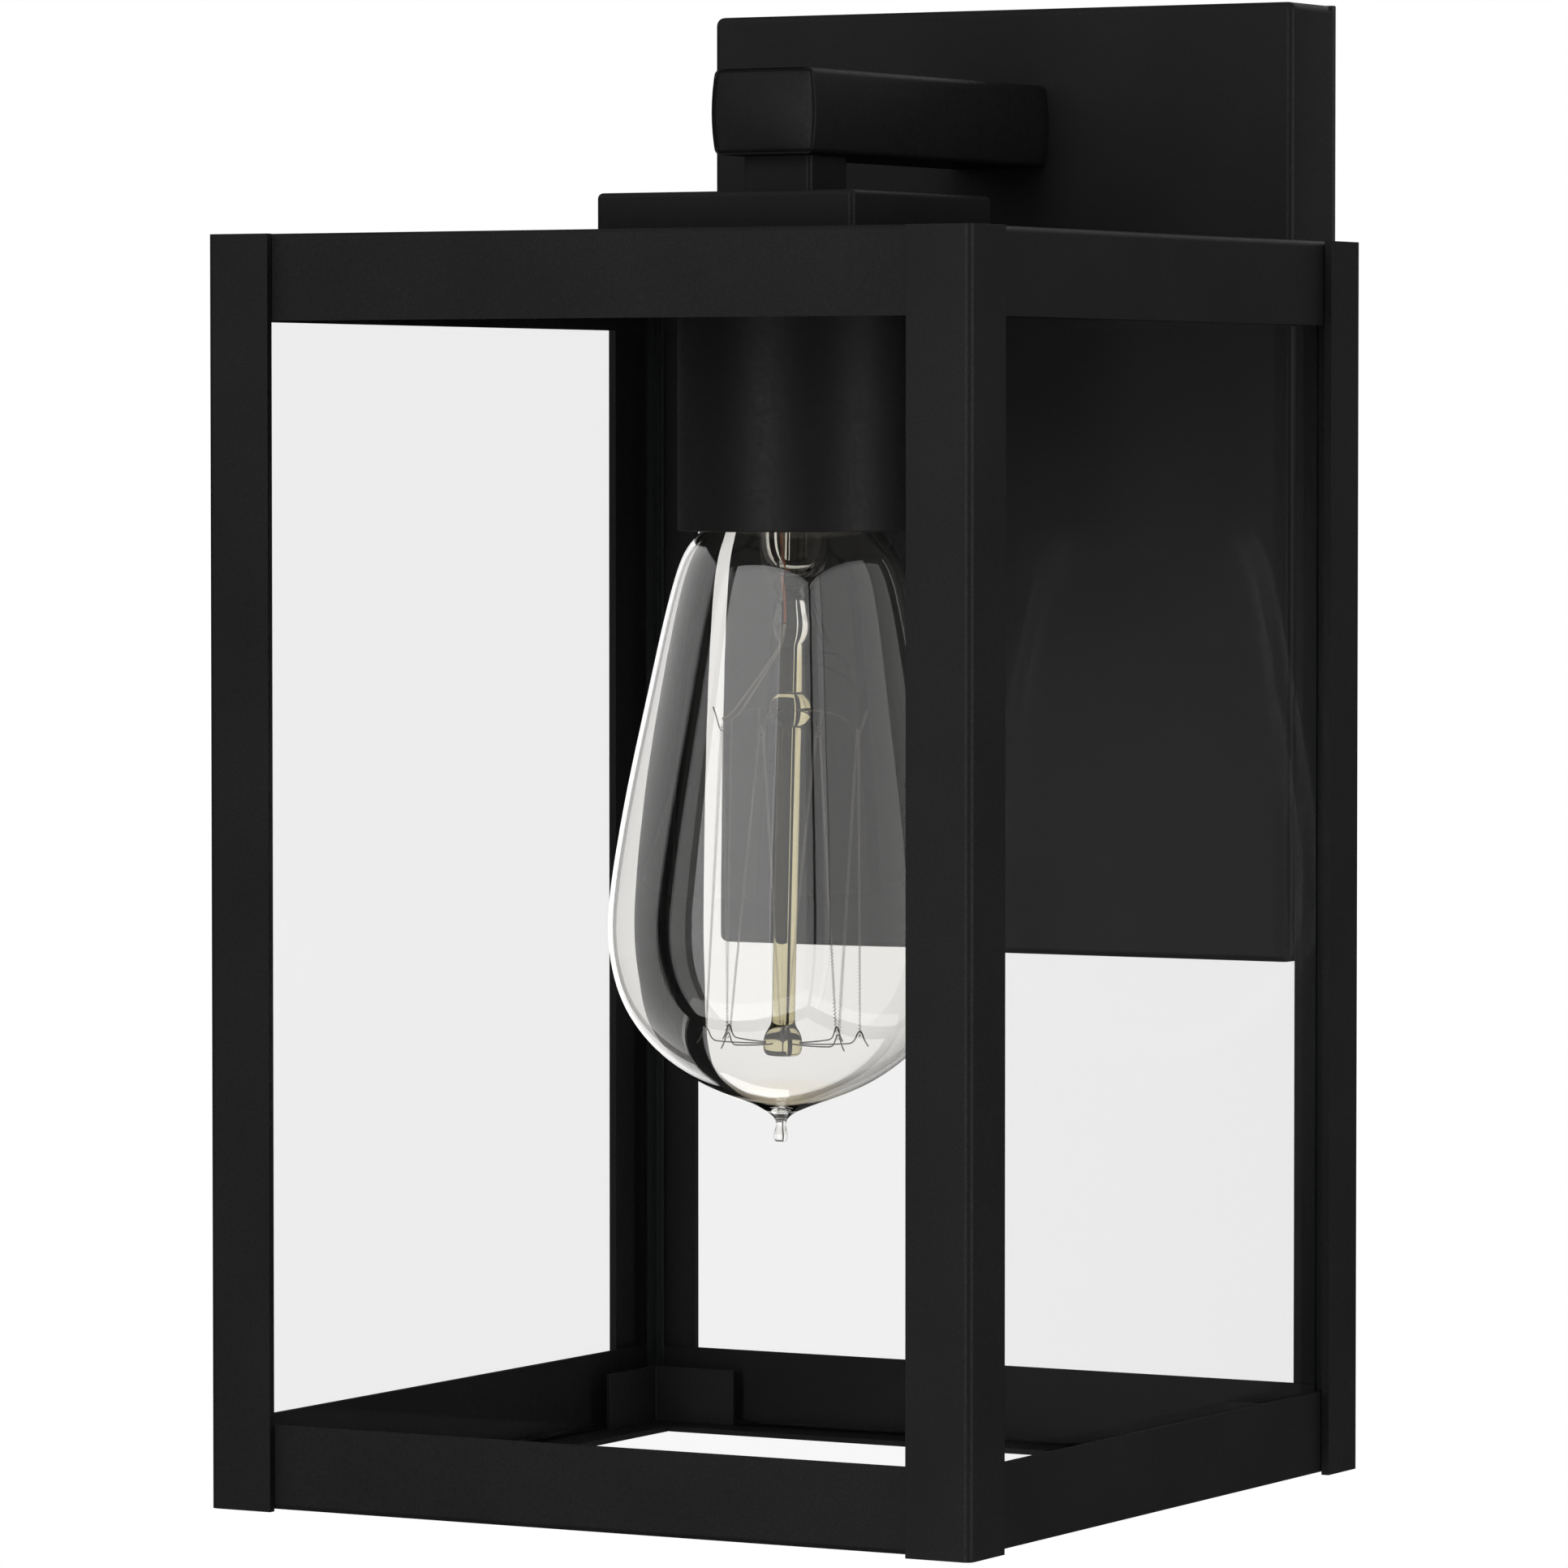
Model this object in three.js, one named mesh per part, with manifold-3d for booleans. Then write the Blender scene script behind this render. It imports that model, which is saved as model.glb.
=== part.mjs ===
// Outdoor wall lantern: a square black steel frame with four clear panes and an open bottom,
// hung from a backplate by a short arm, with a pear-shaped vintage bulb in a round socket cup.
// Units are millimetres. +Z is up, the wall is the plane y = 0 and the lantern stands out
// towards -Y. The origin is the centre of the backplate on the wall.
import * as THREE from "three";
import { mergeVertices } from "three/addons/utils/BufferGeometryUtils.js";
import Module from "manifold-3d";

const wasm = await Module();
wasm.setup();

// ---------- driving dimensions ----------
const BODY_WIDTH = 152.4; // six inches, square in plan
const BODY_HEIGHT = 225.4;
const BODY_BOTTOM_Z = -181.3; // height of the frame's lower edge below the backplate's centre
const POST_LEG = 12.5;
const POST_SHEET = 1.5;
const POST_BEND = 2.0; // outer bend radius
const RAIL_HEIGHT = 15.0;
const RAIL_SHEET = 1.0;
const RAIL_LIFT = 0.3; // the rails stop this far short of the posts' lower ends
const FLANGE = 12.0; // the bottom rails' inward flange
const FIT = 0.15; // play between sheets that lie on each other
const GLASS = 3.0;
const CLIP_LEG = 18.0;
const CLIP_HEIGHT = 10.5;
const PLATE_WIDTH = 122.5;
const PLATE_HEIGHT = 177.2;
const PLATE_DEPTH = 18.5;
const PLATE_SHEET = 1.2;
const GASKET = 1.5;
const BODY_GAP = 2.0; // clear space between the backplate and the frame
const CAP_WIDTH = 52.4;
const CAP_HEIGHT = 7.8;
const CAP_SHEET = 1.2;
const NECK_WIDTH = 14.0;
const NECK_HEIGHT = 6.9;
const ARM_WIDTH = 21.0;
const ARM_HEIGHT = 15.4;
const ARM_OVERHANG = 12.5; // the arm runs past the lantern's axis by this
const CUP_RADIUS = 21.2;
const CUP_BOTTOM = 172.8; // above the frame's lower edge
const THREAD_PITCH = 25.4 / 7; // medium Edison screw, seven turns to the inch
const BASE_CREST = 13.15; // bulb base
const BASE_ROOT = 12.35;
const THREAD_PLAY = 0.4; // radial play between base and screw shell

// ---------- derived places ----------
const BODY_HALF = BODY_WIDTH / 2;
const BODY_Y = -(PLATE_DEPTH + BODY_GAP + BODY_HALF);
const RAIL_HALF = BODY_HALF - POST_SHEET - FIT; // outer face of rails and roof skirts
const GLASS_OUTER = RAIL_HALF - RAIL_SHEET - FIT;
const GLASS_INNER = GLASS_OUTER - GLASS;
const ROOF_UNDERSIDE = BODY_HEIGHT - RAIL_SHEET;
const ARM_BOTTOM_Z = BODY_BOTTOM_Z + BODY_HEIGHT + CAP_HEIGHT + NECK_HEIGHT;
const ARM_MID_Z = ARM_BOTTOM_Z + ARM_HEIGHT / 2;
const ARM_FRONT_Y = BODY_Y - ARM_OVERHANG;

// ---------- finishes ----------
const finish = (color, roughness, metalness, extra = {}) =>
  new THREE.MeshStandardMaterial({ color, roughness, metalness, ...extra });
const blackPaint = finish(0x1b1b1d, 0.5, 0.2);
const clearGlass = finish(0xf4f7f7, 0.03, 0, { transparent: true, opacity: 0.3 });
const zincSteel = finish(0xb9bcbf, 0.35, 0.9);
const springSteel = finish(0x77797c, 0.4, 0.9);
const brass = finish(0xb58f4c, 0.35, 0.9);
const nickelBrass = finish(0xc9b98d, 0.3, 0.9);
const tungsten = finish(0x6f6a62, 0.45, 0.8);
const porcelain = finish(0xeeeae0, 0.25, 0);
const blackGlass = finish(0x141414, 0.2, 0);
const solder = finish(0xa5a6a8, 0.4, 0.8);
const rubber = finish(0x1a1a1a, 0.85, 0);
const blackLead = finish(0x18181a, 0.5, 0);
const whiteLead = finish(0xe6e4de, 0.5, 0);
const copper = finish(0xb4693f, 0.35, 0.9);
const greenPaint = finish(0x1f7a3a, 0.4, 0.3);
const orangeNylon = finish(0xd86a1c, 0.5, 0);

// ---------- solids ----------
const lantern = new THREE.Group();
const body = new THREE.Group(); // the frame's own axes: centred in plan, z = 0 at its lower edge
body.position.set(0, BODY_Y, BODY_BOTTOM_Z);
lantern.add(body);

// A closed geometry as a manifold-3d solid, for cutting and joining.
function solid(geometry) {
  const bare = geometry.index ? geometry.toNonIndexed() : geometry.clone();
  bare.deleteAttribute("normal");
  bare.deleteAttribute("uv");
  const merged = mergeVertices(bare, 1e-4);
  return new wasm.Manifold(
    new wasm.Mesh({
      numProp: 3,
      vertProperties: merged.attributes.position.array,
      triVerts: new Uint32Array(merged.index.array),
    }),
  );
}

function geometryOf(manifold) {
  const mesh = manifold.getMesh();
  const positions = new Float32Array(mesh.numVert * 3);
  for (let i = 0; i < mesh.numVert; i++) {
    positions.set(mesh.vertProperties.subarray(i * mesh.numProp, i * mesh.numProp + 3), i * 3);
  }
  return new THREE.BufferGeometry()
    .setAttribute("position", new THREE.BufferAttribute(positions, 3))
    .setIndex(new THREE.BufferAttribute(mesh.triVerts, 1));
}

// Adds one named sub-part to a group. The shape is a geometry or a manifold-3d solid.
function addPiece(group, name, shape, material) {
  const mesh = new THREE.Mesh(shape.isBufferGeometry ? shape : geometryOf(shape), material);
  mesh.name = name;
  group.add(mesh);
  return mesh;
}

function boxGeometry([x0, x1], [y0, y1], [z0, z1]) {
  return new THREE.BoxGeometry(x1 - x0, y1 - y0, z1 - z0).translate(
    (x0 + x1) / 2,
    (y0 + y1) / 2,
    (z0 + z1) / 2,
  );
}
const box = (xs, ys, zs) => solid(boxGeometry(xs, ys, zs));

// An upright outline in plan, extruded from z0 to z1.
function prism(shape, z0, z1, curveSegments = 4) {
  const options = { depth: z1 - z0, bevelEnabled: false, curveSegments };
  return new THREE.ExtrudeGeometry(shape, options).translate(0, 0, z0);
}

// A solid of revolution about Z, from [radius, z] pairs that start and end on the axis or close.
function turned(profile, segments = 24) {
  const points = profile.map(([radius, z]) => new THREE.Vector2(radius, z));
  return new THREE.LatheGeometry(points, segments).rotateX(Math.PI / 2);
}

function ring(inner, outer, z0, z1, segments = 16) {
  const profile = [[inner, z0], [outer, z0], [outer, z1], [inner, z1], [inner, z0]];
  return turned(profile, segments);
}

const rod = (radius, z0, z1, segments = 16) =>
  turned([[0, z0], [radius, z0], [radius, z1], [0, z1]], segments);

function roundedRectangle(halfX, halfY, radius) {
  const s = new THREE.Shape();
  s.moveTo(-halfX + radius, -halfY);
  s.lineTo(halfX - radius, -halfY);
  s.absarc(halfX - radius, -halfY + radius, radius, -Math.PI / 2, 0);
  s.lineTo(halfX, halfY - radius);
  s.absarc(halfX - radius, halfY - radius, radius, 0, Math.PI / 2);
  s.lineTo(-halfX + radius, halfY);
  s.absarc(-halfX + radius, halfY - radius, radius, Math.PI / 2, Math.PI);
  s.lineTo(-halfX, -halfY + radius);
  s.absarc(-halfX + radius, -halfY + radius, radius, Math.PI, 1.5 * Math.PI);
  return s;
}

// A folded sheet pan, open below: its top face is at z = height and its edges are rounded.
function pan(halfX, halfY, height, sheet, edge) {
  const outline = roundedRectangle(halfX - edge, halfY - edge, 0.2);
  const outer = new THREE.ExtrudeGeometry(outline, {
    depth: height,
    bevelSize: edge,
    bevelThickness: edge,
    bevelSegments: 3,
    curveSegments: 1,
  }).translate(0, 0, -edge);
  const inside = [sheet - halfX, halfX - sheet];
  const insideY = [sheet - halfY, halfY - sheet];
  return solid(outer)
    .subtract(box([-2 * halfX, 2 * halfX], [-2 * halfY, 2 * halfY], [-height, 0]))
    .subtract(box(inside, insideY, [-1, height - sheet]));
}

// A round-section wire or lead along a smooth route.
function wire(route, radius, steps, sides = 8) {
  const section = new THREE.Shape();
  for (let i = 0; i < sides; i++) {
    const angle = (2 * Math.PI * i) / sides;
    section[i ? "lineTo" : "moveTo"](radius * Math.cos(angle), radius * Math.sin(angle));
  }
  const path = new THREE.CatmullRomCurve3(route.map((p) => new THREE.Vector3(...p)));
  return new THREE.ExtrudeGeometry(section, { steps, extrudePath: path });
}

// Four copies of a corner or side piece, a quarter turn apart round the frame's axis.
function aroundFrame(names, geometry, material) {
  names.forEach((name, quarter) => {
    addPiece(body, name, geometry.clone(), material).rotation.z = (quarter * Math.PI) / 2;
  });
}

// ---------- frame: four angle posts ----------
function postOutline() {
  const corner = -BODY_HALF;
  const inner = corner + POST_SHEET;
  const innerBend = POST_BEND - POST_SHEET;
  const tip = corner + POST_LEG;
  const s = new THREE.Shape();
  s.moveTo(corner + POST_BEND, corner);
  s.lineTo(tip, corner);
  s.lineTo(tip, inner);
  s.lineTo(inner + innerBend, inner);
  s.absarc(inner + innerBend, inner + innerBend, innerBend, -Math.PI / 2, Math.PI, true);
  s.lineTo(inner, tip);
  s.lineTo(corner, tip);
  s.lineTo(corner, corner + POST_BEND);
  s.absarc(corner + POST_BEND, corner + POST_BEND, POST_BEND, Math.PI, 1.5 * Math.PI);
  return s;
}
aroundFrame(
  ["post_front_left", "post_front_right", "post_rear_right", "post_rear_left"],
  prism(postOutline(), 0, BODY_HEIGHT),
  blackPaint,
);

// ---------- frame: bottom rails, angles with mitred ends ----------
function mitredStrip(outer, inner, z0, z1) {
  const gap = 0.2; // keeps the mitres of neighbouring rails apart
  const s = new THREE.Shape();
  s.moveTo(-outer + gap, -outer);
  s.lineTo(outer - gap, -outer);
  s.lineTo(inner - gap, -inner);
  s.lineTo(-inner + gap, -inner);
  s.closePath();
  return solid(prism(s, z0, z1));
}
const railTop = RAIL_LIFT + RAIL_HEIGHT;
aroundFrame(
  ["bottom_rail_front", "bottom_rail_right", "bottom_rail_rear", "bottom_rail_left"],
  geometryOf(
    mitredStrip(RAIL_HALF, RAIL_HALF - RAIL_SHEET, RAIL_LIFT, railTop).add(
      mitredStrip(RAIL_HALF, RAIL_HALF - FLANGE, RAIL_LIFT, RAIL_LIFT + RAIL_SHEET),
    ),
  ),
  blackPaint,
);

// ---------- frame: roof pan, whose skirts are the top rails ----------
const STEM_HOLE = 5.3;
const roofHeight = RAIL_HEIGHT + RAIL_LIFT;
addPiece(
  body,
  "roof_pan",
  pan(RAIL_HALF, RAIL_HALF, roofHeight, RAIL_SHEET, 1.2)
    .subtract(solid(rod(STEM_HOLE, 0, roofHeight + 1)))
    .translate([0, 0, BODY_HEIGHT - roofHeight]),
  blackPaint,
);

// ---------- panes ----------
// All four are one size, set pinwheel fashion: each edge meets its neighbour's face.
const paneBottom = RAIL_LIFT + RAIL_SHEET + 0.3;
const paneTop = ROOF_UNDERSIDE - 0.5;
aroundFrame(
  ["glass_pane_front", "glass_pane_right", "glass_pane_rear", "glass_pane_left"],
  boxGeometry(
    [-GLASS_OUTER + 0.1, GLASS_INNER - 0.3],
    [-GLASS_OUTER, -GLASS_INNER],
    [paneBottom, paneTop],
  ),
  clearGlass,
);

// ---------- corner clips that keep the panes against the rails ----------
function cornerClip(z0) {
  const outer = -GLASS_INNER + 0.25;
  const inner = outer + RAIL_SHEET;
  const s = new THREE.Shape();
  s.moveTo(outer, outer);
  s.lineTo(outer + CLIP_LEG, outer);
  s.lineTo(outer + CLIP_LEG, inner);
  s.lineTo(inner, inner);
  s.lineTo(inner, outer + CLIP_LEG);
  s.lineTo(outer, outer + CLIP_LEG);
  s.closePath();
  return prism(s, z0, z0 + CLIP_HEIGHT);
}
const CORNERS = ["front_left", "front_right", "rear_right", "rear_left"];
aroundFrame(
  CORNERS.map((corner) => `bottom_clip_${corner}`),
  cornerClip(RAIL_LIFT + RAIL_SHEET),
  blackPaint,
);
aroundFrame(
  CORNERS.map((corner) => `top_clip_${corner}`),
  cornerClip(ROOF_UNDERSIDE - CLIP_HEIGHT),
  blackPaint,
);

// ---------- cap, neck and the threaded stem that holds the stack together ----------
addPiece(
  body,
  "top_cap",
  pan(CAP_WIDTH / 2, CAP_WIDTH / 2, CAP_HEIGHT, CAP_SHEET, 1.2)
    .subtract(solid(rod(STEM_HOLE, 0, CAP_HEIGHT + 1)))
    .translate([0, 0, BODY_HEIGHT]),
  blackPaint,
);
const neckBottom = BODY_HEIGHT + CAP_HEIGHT;
const neckTop = neckBottom + NECK_HEIGHT;
addPiece(
  body,
  "neck",
  solid(prism(roundedRectangle(NECK_WIDTH / 2, NECK_WIDTH / 2, 1), neckBottom, neckTop, 3))
    .subtract(solid(rod(STEM_HOLE, neckBottom - 1, neckTop + 1))),
  blackPaint,
);
addPiece(body, "seal_washer", ring(STEM_HOLE, 11, BODY_HEIGHT, BODY_HEIGHT + 1.2), rubber);
const STEM_RADIUS = 5.0;
const STEM_BORE = 3.5;
const stemBottom = 215.6;
const stemTop = neckBottom + NECK_HEIGHT + 7;
addPiece(body, "threaded_stem", ring(STEM_BORE, STEM_RADIUS, stemBottom, stemTop), zincSteel);
const cupTop = ROOF_UNDERSIDE - 0.1;
addPiece(body, "lock_washer", ring(STEM_RADIUS + 0.2, 8, cupTop - 1.9, cupTop - 1.1), zincSteel);
addPiece(
  body,
  "stem_nut",
  solid(rod(8.1, cupTop - 5.7, cupTop - 1.95, 6)).subtract(
    solid(rod(STEM_RADIUS + 0.15, cupTop - 7, cupTop)),
  ),
  zincSteel,
);

// ---------- arm ----------
// Section in x and z, with slightly crowned sides; extruded along y.
function armSection() {
  const half = ARM_HEIGHT / 2;
  const edge = ARM_WIDTH / 2 - 0.8; // half width at the top and bottom edges
  const crown = 2.2 * (ARM_WIDTH / 2) - 1.2 * edge; // control point that crowns the side
  const r = 1.6;
  const s = new THREE.Shape();
  s.moveTo(-edge + r, -half);
  s.lineTo(edge - r, -half);
  s.quadraticCurveTo(edge, -half, edge + 0.2, -half + r);
  s.quadraticCurveTo(crown, 0, edge + 0.2, half - r);
  s.quadraticCurveTo(edge, half, edge - r, half);
  s.lineTo(-edge + r, half);
  s.quadraticCurveTo(-edge, half, -edge - 0.2, half - r);
  s.quadraticCurveTo(-crown, 0, -edge - 0.2, -half + r);
  s.quadraticCurveTo(-edge, -half, -edge + r, -half);
  return s;
}
const ARM_SCREW_X = 7.4;
const armLength = -PLATE_DEPTH - ARM_FRONT_Y;
const alongY = (geometry) => geometry.rotateX(Math.PI / 2); // turns +Z into -Y
function armSolid() {
  const bar = new THREE.ExtrudeGeometry(armSection(), {
    depth: armLength,
    bevelEnabled: false,
    curveSegments: 4,
  });
  const rearWall = 8.5;
  const frontWall = 2.7;
  const side = ARM_WIDTH / 2 - 2.5;
  const ceiling = ARM_HEIGHT / 2 - 2.4;
  const bossBack = 10.7; // the floor is thick round the threaded stem
  const cavityRear = -rearWall - PLATE_DEPTH;
  const armPart = (geometry) => solid(geometry.translate(0, 0, ARM_MID_Z));
  const cavity = (back, front, floor) =>
    armPart(boxGeometry([-side, side], [front, back], [floor - ARM_HEIGHT / 2, ceiling]));
  const hole = (radius, depth, sides, x = 0) =>
    armPart(alongY(rod(radius, PLATE_DEPTH - 1, PLATE_DEPTH + depth, sides)).translate(x, 0, 0));
  return armPart(alongY(bar).translate(0, -PLATE_DEPTH, 0))
    .subtract(cavity(cavityRear, BODY_Y + bossBack, 2.6))
    .subtract(cavity(BODY_Y + bossBack + 1, ARM_FRONT_Y + frontWall, 6))
    .subtract(solid(rod(STEM_RADIUS + 0.15, -ARM_HEIGHT, 0).translate(0, BODY_Y, ARM_MID_Z)))
    .subtract(hole(3.2, rearWall + 1, 16))
    .subtract(hole(1.6, 7.5, 12, ARM_SCREW_X))
    .subtract(hole(1.6, 7.5, 12, -ARM_SCREW_X));
}
addPiece(lantern, "arm", armSolid(), blackPaint);

// ---------- backplate and its gasket ----------
const SIDE_SCREW_Y = -9;

// A rod through both sides of the backplate, for the side screws' holes.
function crossRod(radius) {
  const across = rod(radius, -PLATE_WIDTH, PLATE_WIDTH, 12).rotateY(Math.PI / 2);
  return solid(across.translate(0, SIDE_SCREW_Y, 0));
}

function backplateSolid() {
  const depth = PLATE_DEPTH - GASKET;
  const shell = geometryOf(pan(PLATE_WIDTH / 2, PLATE_HEIGHT / 2, depth, PLATE_SHEET, 1.2));
  return solid(alongY(shell).translate(0, -GASKET, 0))
    .subtract(solid(alongY(rod(3.2, 10, 25, 16)).translate(0, 0, ARM_MID_Z)))
    .subtract(solid(alongY(rod(1.7, 10, 25, 12)).translate(ARM_SCREW_X, 0, ARM_MID_Z)))
    .subtract(solid(alongY(rod(1.7, 10, 25, 12)).translate(-ARM_SCREW_X, 0, ARM_MID_Z)))
    .subtract(crossRod(2.3));
}
addPiece(lantern, "backplate", backplateSolid(), blackPaint);
function rectangularRing(halfX, halfZ, width, y0, y1) {
  return box([-halfX, halfX], [y0, y1], [-halfZ, halfZ]).subtract(
    box([-halfX + width, halfX - width], [y0 - 1, y1 + 1], [-halfZ + width, halfZ - width]),
  );
}
addPiece(
  lantern,
  "wall_gasket",
  rectangularRing(PLATE_WIDTH / 2, PLATE_HEIGHT / 2, 1.25, -GASKET + 0.05, 0),
  rubber,
);

// ---------- mounting bracket, screwed to the wall box, with ears for the side screws ----------
const STRAP_HALF = PLATE_WIDTH / 2 - PLATE_SHEET - 0.35;
const STRAP_SHEET = 2.0;
const STRAP_HEIGHT = 25;
const GROUND_X = 15;
function bracketSolid() {
  const halfZ = STRAP_HEIGHT / 2;
  const earZ = 8;
  const across = (x0, x1) => box([x0, x1], [-15, 0], [-earZ, earZ]);
  let strap = box([-STRAP_HALF, STRAP_HALF], [-STRAP_SHEET, 0], [-halfZ, halfZ])
    .add(across(STRAP_HALF - STRAP_SHEET, STRAP_HALF))
    .add(across(-STRAP_HALF, -STRAP_HALF + STRAP_SHEET));
  for (const side of [-1, 1]) {
    const slot = alongY(prism(roundedRectangle(7, 2.5, 2.4), -5, 5));
    strap = strap.subtract(solid(slot.translate(side * 40, 0, 0)));
  }
  return strap
    .subtract(solid(alongY(rod(2.4, -5, 5, 12)).translate(GROUND_X, 0, 0)))
    .subtract(crossRod(2.05));
}
addPiece(lantern, "mounting_bracket", bracketSolid(), zincSteel);

// ---------- screws ----------
// A domed screw standing on z = 0 with its shank below, and a slot across its head.
function screw(headRadius, headHeight, shankRadius, shankLength, slotWidth = 1) {
  const profile = [
    [0, -shankLength],
    [shankRadius, -shankLength],
    [shankRadius, 0],
    [headRadius, 0],
    [headRadius * 0.95, headHeight * 0.55],
    [headRadius * 0.6, headHeight * 0.92],
    [0, headHeight],
  ];
  const slotDepth = [headHeight * 0.5, headHeight * 2];
  const slot = box([-headRadius, headRadius], [-slotWidth / 2, slotWidth / 2], slotDepth);
  return geometryOf(solid(turned(profile, 14)).subtract(slot));
}
const SIDE_SCREW = screw(3.6, 2.0, 1.95, 9);
addPiece(
  lantern,
  "side_screw_right",
  SIDE_SCREW.clone().rotateY(Math.PI / 2).translate(PLATE_WIDTH / 2 + 0.05, SIDE_SCREW_Y, 0),
  blackPaint,
);
addPiece(
  lantern,
  "side_screw_left",
  SIDE_SCREW.clone().rotateY(-Math.PI / 2).translate(-PLATE_WIDTH / 2 - 0.05, SIDE_SCREW_Y, 0),
  blackPaint,
);
const plateInside = -PLATE_DEPTH + PLATE_SHEET; // y of the backplate's inner face
const ARM_SCREW = screw(3.2, 1.9, 1.45, 8, 0.8).rotateX(-Math.PI / 2); // head towards the wall
const LUG = 0.8;
addPiece(
  lantern,
  "arm_screw_left",
  ARM_SCREW.clone().translate(-ARM_SCREW_X, plateInside + 0.05, ARM_MID_Z),
  zincSteel,
);
addPiece(
  lantern,
  "arm_screw_right",
  ARM_SCREW.clone().translate(ARM_SCREW_X, plateInside + LUG + 0.15, ARM_MID_Z),
  zincSteel,
);
const GROUND_SCREW = screw(4.2, 2.6, 2.3, STRAP_SHEET, 1).rotateX(Math.PI / 2);
addPiece(
  lantern,
  "ground_screw",
  GROUND_SCREW.translate(GROUND_X, -STRAP_SHEET - 0.02, 0),
  greenPaint,
);

// ---------- wire bushing in the backplate, and the leads ----------
const BUSHING = [
  [2.3, 0.1],
  [3.9, 0.1],
  [3.9, 1.05],
  [3.05, 1.05],
  [3.05, 2.6],
  [2.3, 2.6],
  [2.3, 0.1],
];
addPiece(
  lantern,
  "wire_bushing",
  alongY(turned(BUSHING, 16)).translate(0, plateInside + 1.15, ARM_MID_Z),
  rubber,
);
const LEAD_RADIUS = 0.9;
const NUT_X = 22;
const NUT_Z = 34;
const LEAD_Y = -8.5;
// From its hole in the socket, up the stem, back along the arm and down to its connector.
function leadRoute(side) {
  const socketTop = BODY_BOTTOM_Z + 213;
  const x = side * 1.1;
  return [
    [side * 4.6, BODY_Y, socketTop - 3.5],
    [side * 4.6, BODY_Y, socketTop - 0.9],
    [side * 4, BODY_Y, socketTop + 0.6],
    [side * 2, BODY_Y, socketTop + 2.2],
    [x, BODY_Y, socketTop + 5],
    [x, BODY_Y, socketTop + 20],
    [x, BODY_Y, ARM_MID_Z - 3.5],
    [x, BODY_Y, ARM_MID_Z - 0.5],
    [x, BODY_Y + 1.5, ARM_MID_Z + 2.6],
    [x, BODY_Y + 5, ARM_MID_Z + 3.7],
    [x, BODY_Y + 11, ARM_MID_Z + 2.2],
    [x, BODY_Y + 18, ARM_MID_Z + 0.3],
    [x, BODY_Y + 45, ARM_MID_Z],
    [x, -PLATE_DEPTH - 6, ARM_MID_Z],
    [x, plateInside + 0.5, ARM_MID_Z],
    [x * 1.3, plateInside + 4.5, ARM_MID_Z - 1.5],
    [side * 5, LEAD_Y - 0.5, ARM_MID_Z - 7],
    [side * 14, LEAD_Y, ARM_MID_Z - 16],
    [side * 21, LEAD_Y, NUT_Z + 12],
    [side * NUT_X, LEAD_Y, NUT_Z + 0.4],
  ];
}
addPiece(lantern, "lead_live", wire(leadRoute(-1), LEAD_RADIUS, 38), blackLead);
addPiece(lantern, "lead_neutral", wire(leadRoute(1), LEAD_RADIUS, 38), whiteLead);
function connector(side) {
  const profile = [[0, -20], [2.4, -20], [4.0, -16], [5.2, -2], [5.2, 0], [0, 0]];
  return turned(profile, 12).translate(side * NUT_X, LEAD_Y, NUT_Z);
}
addPiece(lantern, "wire_connector_live", connector(-1), orangeNylon);
addPiece(lantern, "wire_connector_neutral", connector(1), orangeNylon);
addPiece(
  lantern,
  "ground_lug",
  alongY(ring(1.6, 3.1, 0, LUG, 14)).translate(ARM_SCREW_X, plateInside + LUG + 0.05, ARM_MID_Z),
  copper,
);
addPiece(
  lantern,
  "ground_wire",
  wire(
    [
      [11.6, plateInside + 1.2, ARM_MID_Z - 0.5],
      [13.4, plateInside + 2.2, ARM_MID_Z - 5],
      [12, LEAD_Y - 2, ARM_MID_Z - 20],
      [9, LEAD_Y, 32],
      [9.5, LEAD_Y + 2, 14],
      [13.5, -3.6, 5.4],
    ],
    0.8,
    24,
  ),
  copper,
);

// ---------- socket: cup, strap, porcelain, screw shell and centre contact ----------
addPiece(
  body,
  "socket_cup",
  turned(
    [
      [CUP_RADIUS - 1, CUP_BOTTOM],
      [CUP_RADIUS, CUP_BOTTOM],
      [CUP_RADIUS, cupTop - 0.8],
      [CUP_RADIUS - 0.8, cupTop],
      [STEM_HOLE, cupTop],
      [STEM_HOLE, cupTop - 1],
      [CUP_RADIUS - 1, cupTop - 1],
      [CUP_RADIUS - 1, CUP_BOTTOM],
    ],
    28,
  ),
  blackPaint,
);
const SOCKET_TOP = 213;
const SOCKET_BOTTOM = 180;
addPiece(
  body,
  "socket_strap",
  box([-13, 13], [-5.6, 5.6], [SOCKET_TOP + 2.5, SOCKET_TOP + 4.5])
    .add(box([-13, -11.6], [-5.6, 5.6], [SOCKET_TOP + 0.05, SOCKET_TOP + 3]))
    .add(box([11.6, 13], [-5.6, 5.6], [SOCKET_TOP + 0.05, SOCKET_TOP + 3]))
    .subtract(solid(rod(STEM_RADIUS + 0.15, SOCKET_TOP, SOCKET_TOP + 6))),
  zincSteel,
);
const socketProfile = [
  [15, SOCKET_BOTTOM],
  [17.4, SOCKET_BOTTOM],
  [18, SOCKET_BOTTOM + 0.8],
  [18, SOCKET_TOP - 1.5],
  [16.5, SOCKET_TOP],
  [0, SOCKET_TOP],
  [0, SOCKET_TOP - 5],
  [15, SOCKET_TOP - 5],
  [15, SOCKET_BOTTOM],
];
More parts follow.
